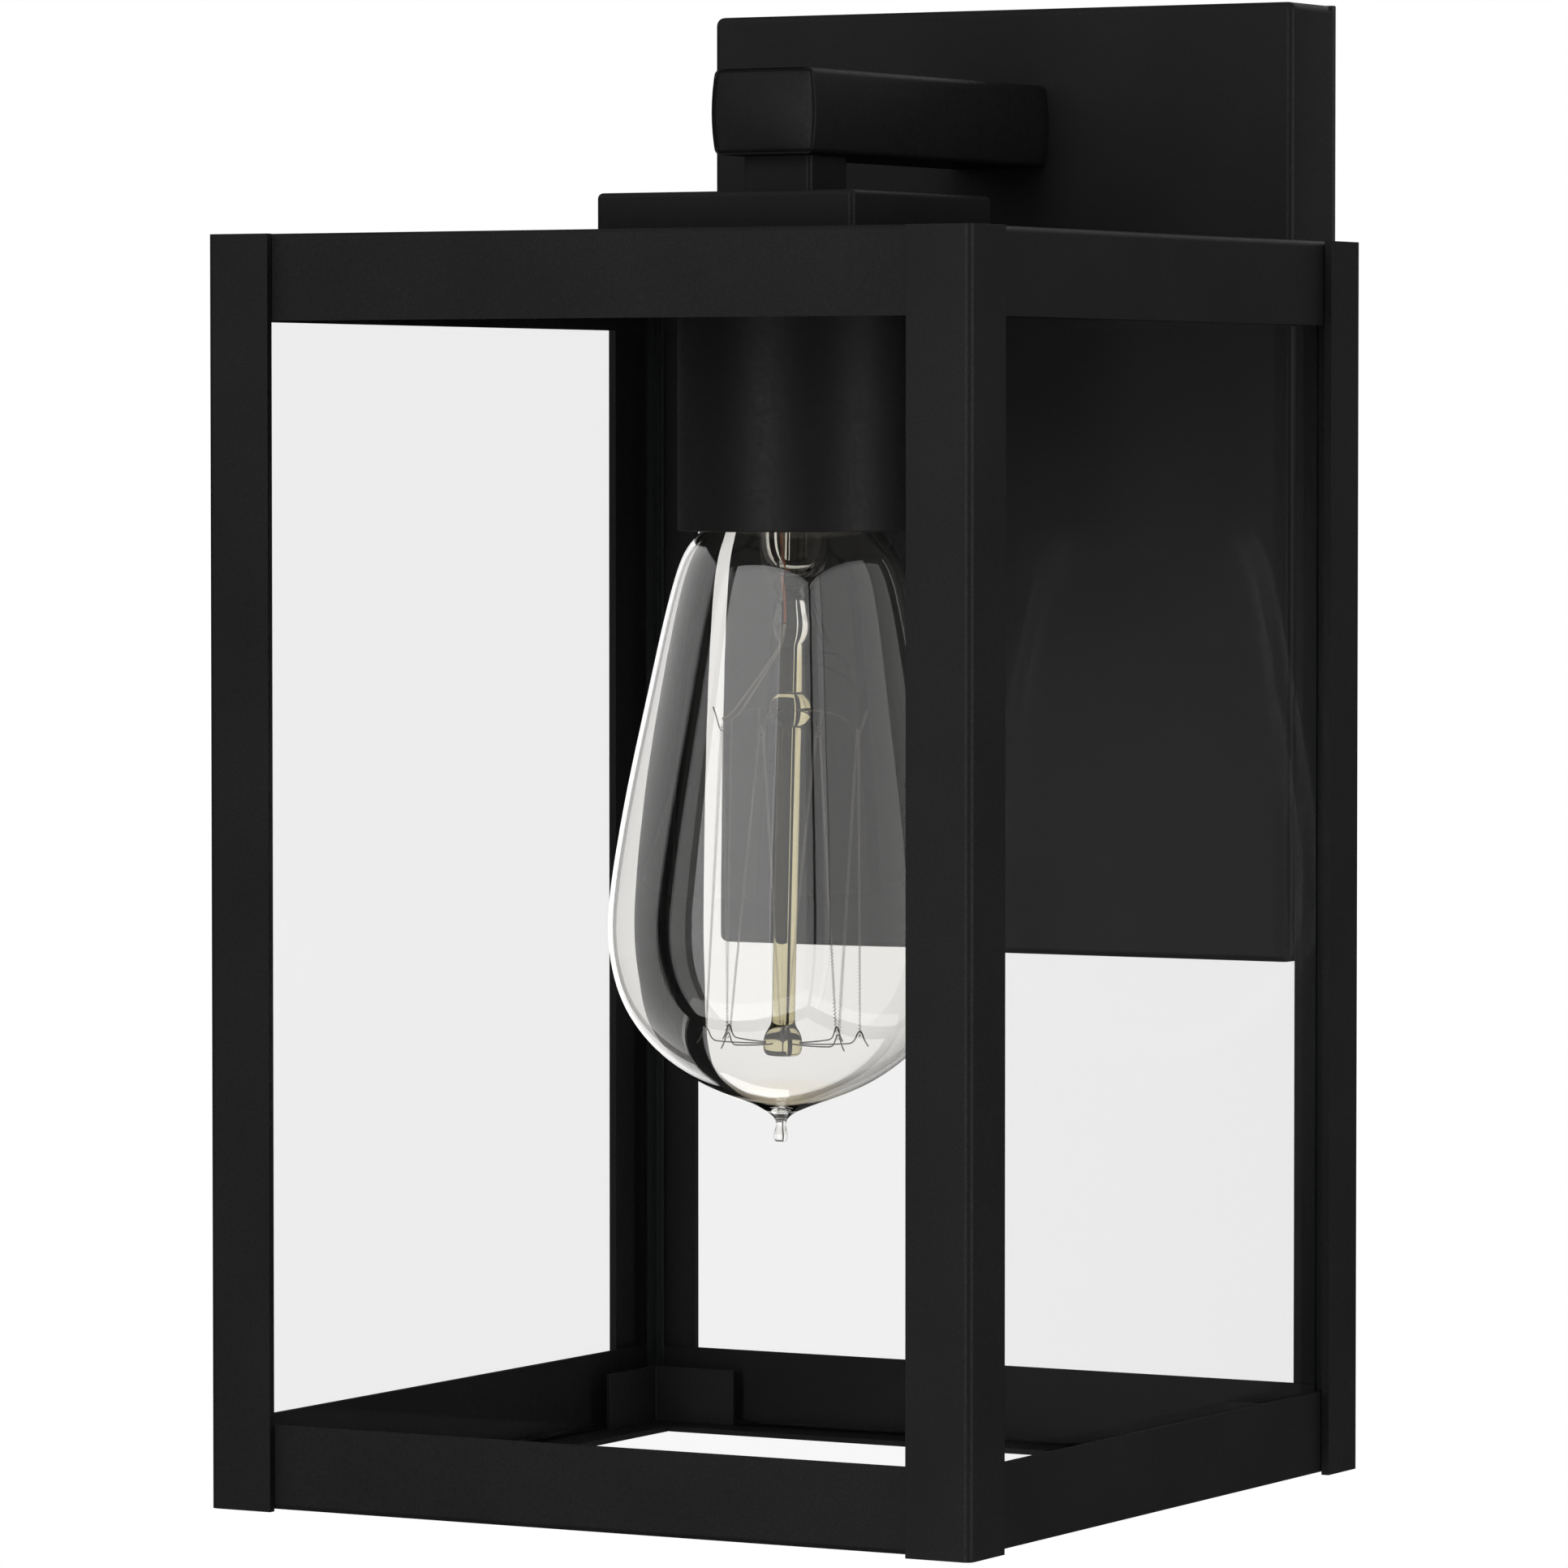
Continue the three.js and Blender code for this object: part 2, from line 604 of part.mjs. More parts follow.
addPiece(
  body,
  "socket_body",
  solid(turned(socketProfile, 24))
    .subtract(solid(rod(1.7, SOCKET_TOP - 6, SOCKET_TOP + 1, 10).translate(4.6, 0, 0)))
    .subtract(solid(rod(1.7, SOCKET_TOP - 6, SOCKET_TOP + 1, 10).translate(-4.6, 0, 0))),
  porcelain,
);

// A right-hand Edison thread as a smooth wave: the radius at an angle and a height.
const THREAD_MEAN = (BASE_CREST + BASE_ROOT) / 2;
const THREAD_DEPTH = (BASE_CREST - BASE_ROOT) / 2;
function threadRadius(angle, z, play = 0) {
  const phase = (2 * Math.PI * z) / THREAD_PITCH - angle;
  return THREAD_MEAN + play + THREAD_DEPTH * Math.cos(phase);
}
// A tube about Z, from rings of points that share one number of sides. Each ring gives the
// radius at an angle and its height; the last ring joins the first one.
function tubeOfRings(rings, sides) {
  const positions = [];
  const corner = ({ radius, z }, i) => {
    const angle = (2 * Math.PI * (i % sides)) / sides;
    const r = typeof radius === "function" ? radius(angle, z) : radius;
    return [r * Math.cos(angle), r * Math.sin(angle), z];
  };
  rings.forEach((below, k) => {
    const above = rings[(k + 1) % rings.length];
    for (let i = 0; i < sides; i++) {
      const a = corner(below, i);
      const b = corner(below, i + 1);
      const c = corner(above, i + 1);
      const d = corner(above, i);
      positions.push(...a, ...b, ...c, ...a, ...c, ...d);
    }
  });
  return new THREE.BufferGeometry().setAttribute(
    "position",
    new THREE.Float32BufferAttribute(positions, 3),
  );
}
const THREAD_SIDES = 16;
const RINGS_PER_TURN = 4;
function threadRings(z0, z1, play) {
  const count = Math.round(((z1 - z0) / THREAD_PITCH) * RINGS_PER_TURN);
  return Array.from({ length: count + 1 }, (_, k) => ({
    radius: (angle, z) => threadRadius(angle, z, play),
    z: z0 + ((z1 - z0) * k) / count,
  }));
}
const shellInside = threadRings(184, 202.2, THREAD_PLAY).reverse();
addPiece(
  body,
  "screw_shell",
  tubeOfRings([{ radius: 14.4, z: 184 }, { radius: 14.4, z: 202.2 }, ...shellInside], THREAD_SIDES),
  brass,
);
const CONTACT_TOP = SOCKET_TOP - 5.1;
addPiece(
  body,
  "centre_contact",
  box([-2.6, 2.6], [-8, 8], [CONTACT_TOP - 0.9, CONTACT_TOP - 0.1])
    .add(solid(rod(2.2, CONTACT_TOP - 2.6, CONTACT_TOP - 0.5, 12)))
    .add(solid(rod(1.8, CONTACT_TOP - 0.5, CONTACT_TOP, 10).translate(0, 6, 0))),
  brass,
);

// ---------- bulb ----------
const BULB_TIP = 62.7; // height of the glass pip above the frame's lower edge
const TIP_CONTACT_TOP = 204.9;
addPiece(
  body,
  "bulb_tip_contact",
  turned([[0, 203.25], [3.4, 203.25], [3.1, 204.2], [1.8, 204.8], [0, TIP_CONTACT_TOP]], 16),
  solder,
);
addPiece(
  body,
  "bulb_insulator",
  turned([[0, 200.2], [9.3, 200.2], [4.6, 203.1], [0, 203.2]], 20),
  blackGlass,
);
const baseThread = threadRings(181, 197, 0);
const BASE_INSIDE = 11.6;
addPiece(
  body,
  "bulb_base_shell",
  tubeOfRings(
    [
      { radius: BASE_INSIDE, z: 177 },
      { radius: BASE_CREST, z: 177 },
      { radius: BASE_CREST, z: 179.6 },
      { radius: BASE_ROOT, z: 180.6 },
      ...baseThread,
      { radius: BASE_ROOT - 0.1, z: 197.6 },
      { radius: 9.9, z: 200.1 },
      { radius: 9.3, z: 200.1 },
      { radius: BASE_INSIDE, z: 197.4 },
    ],
    THREAD_SIDES,
  ),
  nickelBrass,
);
// The blown glass and all it holds sit a little askew in the base.
const LEAN = (1.25 * Math.PI) / 180;
const LEAN_TOWARDS = (209.2 * Math.PI) / 180; // the way the pip swings, in plan
const LEAN_PIVOT = 184;
const glassware = new THREE.Group();
glassware.position.z = LEAN_PIVOT;
glassware.quaternion.setFromAxisAngle(
  new THREE.Vector3(Math.sin(LEAN_TOWARDS), -Math.cos(LEAN_TOWARDS), 0),
  LEAN,
);
body.add(glassware);
function addGlassware(name, geometry, material) {
  addPiece(glassware, name, geometry.translate(0, 0, -LEAN_PIVOT), material);
}
// Outside of the envelope from the pip up to the neck, then back down the inside.
const glassOutside = [
  [0, BULB_TIP],
  [1.5, BULB_TIP + 1.2],
  [1.1, BULB_TIP + 3],
  [3.4, BULB_TIP + 5.3],
  [8.5, 70.4],
  [16.1, 73.7],
  [22.5, 78.2],
  [27.5, 84.2],
  [30.6, 91],
  [31.9, 99],
  [31.9, 105],
  [28.6, 129],
  [22.6, 159],
  [19.6, 169],
  [16.6, 173],
  [10.9, 176.7],
  [10.9, 190],
];
const glassInside = [
  [9.9, 190],
  [9.9, 176.9],
  [15.6, 172.3],
  [18.6, 168.4],
  [27.6, 127],
  [30.9, 103],
  [29.6, 92],
  [24.5, 82],
  [15.5, 74.9],
  [6, 71],
  [0, 70.3],
];
addGlassware("bulb_glass", turned([...glassOutside, ...glassInside], 24), clearGlass);
const HUB_TOP_Z = 140.6;
const HUB_BOTTOM_Z = 80.5;
addGlassware(
  "glass_stem",
  turned(
    [
      [0, 78.2],
      [2.9, 78.2],
      [3.4, 80.4],
      [2, 83],
      [2, 138],
      [3.6, HUB_TOP_Z],
      [2, 143.2],
      [2, 153.4],
      [3.2, 156],
      [2.6, 160.4],
      [6.2, 168],
      [6.2, 182],
      [9.5, 188.6],
      [8.9, 189.4],
      [4.9, 182.6],
      [4.9, 170],
      [0, 166],
    ],
    12,
  ),
  clearGlass,
);
// Wire supports stand out from the stem's two glass hubs like the spokes of a wheel.
const CAGE_RADIUS = 14.2;
const CAGE_TURN = 29.2; // degrees; sets where the first support points
function spokeAngles(count, firstDegrees) {
  return Array.from({ length: count }, (_, k) => ((firstDegrees + 45 * k) * Math.PI) / 180);
}
const lowerAngles = spokeAngles(8, CAGE_TURN + 225);
const upperAngles = spokeAngles(7, CAGE_TURN + 247.5);
function spider(hubRadius, z, angles, hookRise) {
  const hook = [Math.min(0, hookRise), Math.max(0, hookRise)];
  return angles.reduce((wires, angle) => {
    const spoke = boxGeometry([hubRadius + 0.4, CAGE_RADIUS], [-0.3, 0.3], [-0.3, 0.3]);
    const end = boxGeometry([CAGE_RADIUS - 0.6, CAGE_RADIUS], [-0.3, 0.3], hook);
    const placed = (geometry) => solid(geometry.rotateZ(angle).translate(0, 0, z));
    return wires.add(placed(spoke)).add(placed(end));
  }, solid(ring(hubRadius, hubRadius + 0.7, z - 0.35, z + 0.35, 12)));
}
addGlassware("upper_supports", geometryOf(spider(3.95, HUB_TOP_Z, upperAngles, -3.4)), tungsten);
addGlassware("lower_supports", geometryOf(spider(3.65, HUB_BOTTOM_Z, lowerAngles, 3.4)), tungsten);
// The filament runs up and down between the supports, so it is a chain of straight strands.
const LEAD_ENDS = [213, 196].map((degrees) => ((degrees + CAGE_TURN) * Math.PI) / 180);
const onCage = (angle, radius, z) => [radius * Math.cos(angle), radius * Math.sin(angle), z];
function strand(from, to, thickness) {
  const start = new THREE.Vector3(...from);
  const along = new THREE.Vector3(...to).sub(start);
  const turn = new THREE.Quaternion().setFromUnitVectors(
    new THREE.Vector3(0, 0, 1),
    along.clone().normalize(),
  );
  const middle = start.addScaledVector(along, 0.5);
  return new THREE.BoxGeometry(thickness, thickness, along.length() + thickness)
    .applyQuaternion(turn)
    .translate(middle.x, middle.y, middle.z);
}
const FILAMENT_BOTTOM_Z = 85.3;
const FILAMENT_TOP_Z = 136.5;
const filamentTurns = [onCage(LEAD_ENDS[0], 12.2, 137.4)];
lowerAngles.forEach((angle, k) => {
  filamentTurns.push(onCage(angle, 13.1, FILAMENT_BOTTOM_Z));
  if (k < upperAngles.length) {
    filamentTurns.push(onCage(upperAngles[k], 13.1, FILAMENT_TOP_Z));
  }
});
filamentTurns.push(onCage(LEAD_ENDS[1], 12.2, 137.4));
const filament = filamentTurns
  .slice(1)
  .map((turn, k) => solid(strand(filamentTurns[k], turn, 0.5)))
  .reduce((whole, next) => whole.add(next));
addGlassware("filament", geometryOf(filament), tungsten);
LEAD_ENDS.forEach((angle, k) => {
  const route = [
    onCage(angle, 3.9, 156),
    onCage(angle, 6.4, 150.5),
    onCage(angle, 9.6, 144),
    onCage(angle, 12.2, 138.4),
  ];
  addGlassware(`bulb_lead_${k ? "b" : "a"}`, wire(route, 0.35, 6, 6), nickelBrass);
});

export default lantern;
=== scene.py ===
import math

import bmesh
import bpy
from mathutils import Matrix, Vector


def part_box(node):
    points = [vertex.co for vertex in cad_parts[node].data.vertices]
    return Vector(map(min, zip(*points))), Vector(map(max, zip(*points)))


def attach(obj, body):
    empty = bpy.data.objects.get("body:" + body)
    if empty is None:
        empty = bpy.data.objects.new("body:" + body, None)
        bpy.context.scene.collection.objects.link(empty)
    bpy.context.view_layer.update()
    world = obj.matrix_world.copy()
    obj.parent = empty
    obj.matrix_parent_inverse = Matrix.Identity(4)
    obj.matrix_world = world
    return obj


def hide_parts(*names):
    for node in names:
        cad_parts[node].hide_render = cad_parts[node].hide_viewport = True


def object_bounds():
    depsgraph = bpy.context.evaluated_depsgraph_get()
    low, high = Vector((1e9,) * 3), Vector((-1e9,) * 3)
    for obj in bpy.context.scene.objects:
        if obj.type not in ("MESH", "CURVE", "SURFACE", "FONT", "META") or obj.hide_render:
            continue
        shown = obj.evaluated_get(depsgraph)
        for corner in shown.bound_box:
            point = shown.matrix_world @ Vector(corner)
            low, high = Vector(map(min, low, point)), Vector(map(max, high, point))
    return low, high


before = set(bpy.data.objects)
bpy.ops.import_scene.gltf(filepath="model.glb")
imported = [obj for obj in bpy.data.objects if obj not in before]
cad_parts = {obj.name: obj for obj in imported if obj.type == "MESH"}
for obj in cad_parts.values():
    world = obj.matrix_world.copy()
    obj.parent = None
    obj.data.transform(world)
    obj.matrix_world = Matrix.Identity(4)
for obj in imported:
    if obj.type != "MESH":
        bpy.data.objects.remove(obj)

cad_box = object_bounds()
MM = 0.001
scene = bpy.context.scene
scene.view_settings.view_transform = "Standard"


# -------------------- camera and studio
# The lantern is seen from its front right at its own height, through a long lens 1.5 m away.
# A white sweep closes the room, and a pale matte floor lies well below the lantern.
camera_data = bpy.data.cameras.new("camera")
camera_data.sensor_width = 36
camera_data.lens = 194.06
camera = bpy.data.objects.new("camera", camera_data)
camera.location = (0.7403, -1.4258, 0.0064)
camera.rotation_euler = (math.radians(87.726), 0, math.radians(29.194))
scene.collection.objects.link(camera)
scene.camera = camera


def linear(hex_code):
    """An sRGB hex colour as linear RGBA."""
    channels = [int(hex_code[i : i + 2], 16) / 255 for i in (1, 3, 5)]
    lit = [c / 12.92 if c <= 0.04045 else ((c + 0.055) / 1.055) ** 2.4 for c in channels]
    return (*lit, 1.0)


def add_node(tree, kind, inputs=None, **settings):
    """Adds a shader node. Sockets and nodes' first outputs are linked, and values are set."""
    node = tree.nodes.new("ShaderNode" + kind)
    for name, value in settings.items():
        setattr(node, name, value)
    for name, value in (inputs or {}).items():
        if isinstance(value, bpy.types.Node):
            value = value.outputs[0]
        if isinstance(value, bpy.types.NodeSocket):
            tree.links.new(value, node.inputs[name])
        else:
            node.inputs[name].default_value = value
    return node


def new_material(name):
    """An empty material and its node tree."""
    material = bpy.data.materials.new(name)
    material.use_nodes = True
    material.node_tree.nodes.clear()
    return material, material.node_tree


# The sweep is plain white. Black flags keep most of it out of the reflections, as they do in
# a product studio, so what shines is mainly the softboxes.
FLAGGED_SWEEP = 0.08
sweep = bpy.data.worlds.new("white sweep")
sweep.use_nodes = True
sweep.node_tree.nodes.clear()
ray = add_node(sweep.node_tree, "LightPath")
bounced = add_node(
    sweep.node_tree, "Math", {0: ray.outputs["Glossy Depth"], 1: 0.5}, operation="GREATER_THAN"
)
# Light that only bounced within one glass wall (in and out: two refractions) stays white.
in_wall = add_node(
    sweep.node_tree,
    "Math",
    {0: ray.outputs["Transmission Depth"], 1: 2.0, 2: 0.5},
    operation="COMPARE",
)
mirrored = add_node(sweep.node_tree, "Math", {0: bounced, 1: in_wall}, operation="SUBTRACT")
strength = add_node(
    sweep.node_tree, "MapRange", {"Value": mirrored, "To Min": 1.0, "To Max": FLAGGED_SWEEP}
)
white = add_node(sweep.node_tree, "Background", {"Color": linear("#ffffff"), "Strength": strength})
add_node(sweep.node_tree, "OutputWorld", {"Surface": white})
scene.world = sweep


def matte_floor():
    """Pale matte paint, lit nearly to the sweep's white. From below the view passes through."""
    material, tree = new_material("pale matte floor paint")
    place = add_node(tree, "TexCoord").outputs["Object"]
    mottle = add_node(tree, "TexNoise", {"Vector": place, "Scale": 3.0, "Detail": 3.0})
    tone = add_node(tree, "ValToRGB", {"Fac": mottle})
    tone.color_ramp.elements[0].color = linear("#e9e8e6")
    tone.color_ramp.elements[1].color = linear("#efeeec")
    paint = add_node(tree, "BsdfDiffuse", {"Color": tone})
    through = add_node(tree, "BsdfTransparent")
    back = add_node(tree, "NewGeometry").outputs["Backfacing"]
    mix = add_node(tree, "MixShader", {0: back, 1: paint, 2: through})
    add_node(tree, "OutputMaterial", {"Surface": mix})
    return material


FLOOR_RADIUS = 3.6
FLOOR_DROP = 0.55  # metres from the lantern's foot down to the floor
floor_shape = bmesh.new()
bmesh.ops.create_circle(floor_shape, cap_ends=True, segments=96, radius=FLOOR_RADIUS)
bmesh.ops.translate(floor_shape, verts=floor_shape.verts, vec=(0, 0, cad_box[0].z - FLOOR_DROP))
floor_mesh = bpy.data.meshes.new("floor")
floor_shape.to_mesh(floor_mesh)
floor_mesh.materials.append(matte_floor())
floor = bpy.data.objects.new("floor", floor_mesh)
floor.visible_glossy = False
scene.collection.objects.link(floor)

# Each lamp lights either the frame or the bulb. None lights the panes, so they mirror none.
bulb_lit = bpy.data.collections.new("lit by the bulb's own softboxes")
frame_lit = bpy.data.collections.new("lit by the frame's softboxes")
light_centre = (cad_box[0] + cad_box[1]) / 2


def softbox(name, azimuth, elevation, distance, width, height, radiance, lit):
    """A softbox that faces the lantern, in degrees and metres. Azimuth 90 is the right."""
    data = bpy.data.lights.new(name, "AREA")
    data.shape = "RECTANGLE"
    data.size = width
    data.size_y = height
    data.energy = radiance * math.pi * width * height
    light = bpy.data.objects.new(name, data)
    a = math.radians(azimuth)
    e = math.radians(elevation)
    back = Vector((math.sin(a) * math.cos(e), -math.cos(a) * math.cos(e), math.sin(e)))
    light.location = light_centre + back * distance
    light.rotation_euler = back.to_track_quat("Z", "Y").to_euler()
    light.visible_camera = False
    light.visible_transmission = False
    light.light_linking.receiver_collection = lit
    scene.collection.objects.link(light)


softbox("right softbox", 92, 8, 1.5, 0.25, 1.6, 3.2, frame_lit)
softbox("front softbox", 0, 6, 1.5, 0.3, 1.6, 3.1, frame_lit)
softbox("front left softbox", -62, 30, 1.6, 0.9, 1.2, 0.3, frame_lit)
softbox("top softbox", -10, 78, 1.4, 1.0, 1.0, 0.3, frame_lit)
softbox("rear softbox", 180, 22, 1.8, 0.8, 0.8, 0.8, frame_lit)
softbox("front card for the bulb", -7, 0, 2.0, 2.0, 6.0, 4.0, bulb_lit)
softbox("wide card for the bulb", 38, 0, 2.0, 1.4, 6.0, 2.2, bulb_lit)
softbox("right card for the bulb", 87, 0, 2.0, 2.2, 6.0, 1.4, bulb_lit)
softbox("left card for the bulb", -76, 0, 1.5, 2.3, 4.0, 1.3, bulb_lit)
softbox("rear left card for the bulb", -137, 0, 1.5, 0.8, 4.0, 1.6, bulb_lit)
softbox("low card for the bulb", 0, -88, 1.5, 3.0, 3.0, 1.6, bulb_lit)


# -------------------- corner posts
# Each post is a strip of sheet steel folded to a right angle on a press brake, sheared to
# length and powder coated black. The rails and the roof are spot welded behind it.
POST_SHEET = 1.5 * MM
POST_BEND = 1.3 * MM  # outside radius of the fold
EDGE_BREAK = 0.18 * MM  # coated sheared edges are this round
ORANGE_PEEL = 0.9 * MM
TONE_DRIFT = 28 * MM
FLOW_MARK = 0.35 * MM  # near the smallest that shows

post_low, post_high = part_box("post_front_left")
body_centre = (post_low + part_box("post_rear_right")[1]) / 2
body_centre.z = 0


def powder_coated_steel():
    """Polyester powder baked on sheet steel: near black, satin, with a fine orange peel."""
    material, tree = new_material("black powder-coated steel")
    place = add_node(tree, "TexCoord").outputs["Object"]
    peel = add_node(tree, "TexNoise", {"Vector": place, "Scale": 1 / ORANGE_PEEL, "Detail": 3.0})
    drift = add_node(tree, "TexNoise", {"Vector": place, "Scale": 1 / TONE_DRIFT, "Detail": 4.0})
    grain = add_node(tree, "TexNoise", {"Vector": place, "Scale": 1 / FLOW_MARK, "Detail": 1.0})
    spread = {"From Min": 0.3, "From Max": 0.7}
    tone = add_node(tree, "ValToRGB", {"Fac": drift})
    tone.color_ramp.elements[0].position = 0.3
    tone.color_ramp.elements[0].color = linear("#0e0d0e")
    tone.color_ramp.elements[1].position = 0.7
    tone.color_ramp.elements[1].color = linear("#141314")
    speck = add_node(tree, "MapRange", {"Value": grain, **spread, "To Min": 0.7, "To Max": 1.3})
    colour = add_node(tree, "VectorMath", {0: tone, "Scale": speck}, operation="SCALE")
    rough = add_node(tree, "MapRange", {"Value": peel, **spread, "To Min": 0.47, "To Max": 0.57})
    relief = add_node(tree, "Bump", {"Height": peel, "Strength": 0.35, "Distance": 0.02 * MM})
    shader = add_node(
        tree,
        "BsdfPrincipled",
        {"Base Color": colour, "Roughness": rough, "IOR": 1.5, "Normal": relief},
    )
    add_node(tree, "OutputMaterial", {"Surface": shader})
    return material


black_coat = powder_coated_steel()


def add_piece(name, shape, material, slot, nodes, body="lantern", turn_out=True):
    """Makes a finished piece from a bmesh. It stands for the CAD nodes that it names."""
    if turn_out:
        bmesh.ops.recalc_face_normals(shape, faces=shape.faces)
    for face in shape.faces:
        face.smooth = True
    mesh = bpy.data.meshes.new(name)
    shape.to_mesh(mesh)
    shape.free()
    mesh.materials.append(material)
    piece = bpy.data.objects.new(name, mesh)
    scene.collection.objects.link(piece)
    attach(piece, body)
    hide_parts(*nodes)
    if slot != "clear_glass":
        (bulb_lit if body == "bulb" else frame_lit).objects.link(piece)
    return piece


def even_shading(piece):
    """Flat faces stay flat next to small rounded edges."""
    normals = piece.modifiers.new("even shading", "WEIGHTED_NORMAL")
    normals.keep_sharp = True


def coated(name, shape, node):
    """Makes a black coated piece that stands for one CAD node."""
    piece = add_piece(name, shape, black_coat, "black_powder_coat", [node])
    even_shading(piece)
    return piece


def round_edges(shape, edges, radius, segments):
    """Rounds these edges."""
    bmesh.ops.bevel(
        shape,
        geom=list(edges),
        offset=radius,
        offset_type="OFFSET",
        affect="EDGES",
        segments=segments,
        profile=0.5,
        material=-1,
        clamp_overlap=True,
    )


def sharp_edges(shape, degrees=50):
    """Edges where two faces meet at more than this angle."""
    limit = math.radians(degrees)
    return [e for e in shape.edges if e.is_manifold and e.calc_face_angle(0) > limit]


def verts_in(geometry):
    """The vertices among what an operator returns."""
    return [v for v in geometry if isinstance(v, bmesh.types.BMVert)]


def quarter_turns(shape, quarter):
    """Turns a piece made for the front or the front left to its own side or corner."""
    turn = Matrix.Rotation(quarter * math.pi / 2, 3, "Z")
    bmesh.ops.rotate(shape, verts=shape.verts, cent=body_centre, matrix=turn)


def folded_angle(corner, along_x, along_y, low, high, bend, sheet):
    """An upright strip folded at corner, with its legs towards +X and +Y."""
    shape = bmesh.new()
    tip_x = shape.verts.new((corner.x + along_x, corner.y, low))
    fold = shape.verts.new((corner.x, corner.y, low))
    tip_y = shape.verts.new((corner.x, corner.y + along_y, low))
    foot = [shape.edges.new((tip_x, fold)), shape.edges.new((fold, tip_y))]
    top = verts_in(bmesh.ops.extrude_edge_only(shape, edges=foot)["geom"])
    bmesh.ops.translate(shape, verts=top, vec=(0, 0, high - low))
    round_edges(shape, sharp_edges(shape), bend, 6)
    outward = Vector((-1, -1, 0))
    for face in shape.faces:
        if face.normal.dot(outward) < 0:
            face.normal_flip()
    bmesh.ops.solidify(shape, geom=shape.faces[:], thickness=sheet)
    return shape


CORNERS = ["front_left", "front_right", "rear_right", "rear_left"]
for quarter, corner in enumerate(CORNERS):
    post = folded_angle(
        post_low,
        post_high.x - post_low.x,
        post_high.y - post_low.y,
        post_low.z,
        post_high.z,
        POST_BEND,
        POST_SHEET,
    )
    round_edges(post, sharp_edges(post), EDGE_BREAK, 2)
    quarter_turns(post, quarter)
    piece = coated("folded_post_" + corner, post, "post_" + corner)
    if corner == "front_right":  # it would cut a black band into what the bulb mirrors
        piece.visible_glossy = False


# -------------------- bottom rails
# Four lengths of sheet folded to an angle, with the flange turned in to carry the glass.
# Their ends are mitred and welded under the posts, and they are coated with the frame.
SIDES = ["front", "right", "rear", "left"]
RAIL_SHEET = 1.0 * MM
RAIL_BEND = 1.1 * MM
THIN_EDGE_BREAK = 0.12 * MM
MITRE_GAP = 0.1 * MM

rail_low, rail_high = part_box("bottom_rail_front")
rail_reach = body_centre.y - rail_low.y  # from the body's centre to the rail's face
rail_flange = rail_high.y - rail_low.y


def cut(shape, point, normal, clear_outer=True):
    """Cuts a shape by a plane. What lies on the normal's side is cleared, unless it is kept."""
    bmesh.ops.bisect_plane(
        shape,
        geom=shape.verts[:] + shape.edges[:] + shape.faces[:],
        plane_co=point,
        plane_no=normal,
        clear_outer=clear_outer,
    )


def mitred_rail():
    """The front rail: a wall and an inward flange, folded at the lower front edge."""
    shape = bmesh.new()
    face_top = shape.verts.new((-rail_reach, rail_low.y, rail_high.z))
    fold = shape.verts.new((-rail_reach, rail_low.y, rail_low.z))
    flange_tip = shape.verts.new((-rail_reach, rail_low.y + rail_flange, rail_low.z))
    section = [shape.edges.new((face_top, fold)), shape.edges.new((fold, flange_tip))]
    far = verts_in(bmesh.ops.extrude_edge_only(shape, edges=section)["geom"])
    bmesh.ops.translate(shape, verts=far, vec=(2 * rail_reach, 0, 0))
    round_edges(shape, sharp_edges(shape), RAIL_BEND, 5)
    for face in shape.faces:
        if face.normal.dot(Vector((0, -1, -1))) < 0:
            face.normal_flip()
    bmesh.ops.solidify(shape, geom=shape.faces[:], thickness=RAIL_SHEET)
    for side in (-1, 1):
        cut(shape, body_centre - Vector((side * MITRE_GAP, 0, 0)), (side, 1, 0))
        bmesh.ops.holes_fill(shape, edges=[e for e in shape.edges if e.is_boundary])
    return shape


for quarter, side in enumerate(SIDES):
    rail = mitred_rail()
    round_edges(rail, sharp_edges(rail), THIN_EDGE_BREAK, 2)
    quarter_turns(rail, quarter)
    coated("angle_rail_" + side, rail, "bottom_rail_" + side)


# -------------------- roof
# The roof is one sheet with its four skirts folded down, and the skirts are the top rails.
# Its corners are welded and dressed round before coating.
ROOF_SHEET = 1.0 * MM
ROOF_EDGE = 1.5 * MM
ROOF_CORNER = 1.2 * MM


def block(low, high):
    """A box between two corners, to be worked further."""
    shape = bmesh.new()
    bmesh.ops.create_cube(shape, size=1)
    bmesh.ops.scale(shape, verts=shape.verts, vec=high - low)
    bmesh.ops.translate(shape, verts=shape.verts, vec=(high + low) / 2)
    return shape


def folded_pan(low, high, sheet, edge, corner):
    """A sheet pan, open below, with folded top edges and dressed corners."""
    shape = block(low, high)
    bottom = [f for f in shape.faces if f.normal.z < -0.5]
    bmesh.ops.delete(shape, geom=bottom, context="FACES_ONLY")
    upright = [e for e in shape.edges if abs(e.verts[0].co.z - e.verts[1].co.z) > sheet]
    round_edges(shape, upright, corner, 5)
    rim = [e for e in shape.edges if e.is_manifold and all(v.co.z > high.z - 1e-6 for v in e.verts)]
    round_edges(shape, rim, edge, 5)
    for face in shape.faces:
        if face.normal.dot(face.calc_center_median() - (high + low) / 2) < 0:
            face.normal_flip()
    bmesh.ops.solidify(shape, geom=shape.faces[:], thickness=sheet)
    return shape


roof_low, roof_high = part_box("roof_pan")
roof = folded_pan(roof_low, roof_high, ROOF_SHEET, ROOF_EDGE, ROOF_CORNER)
coated("folded_roof", roof, "roof_pan")


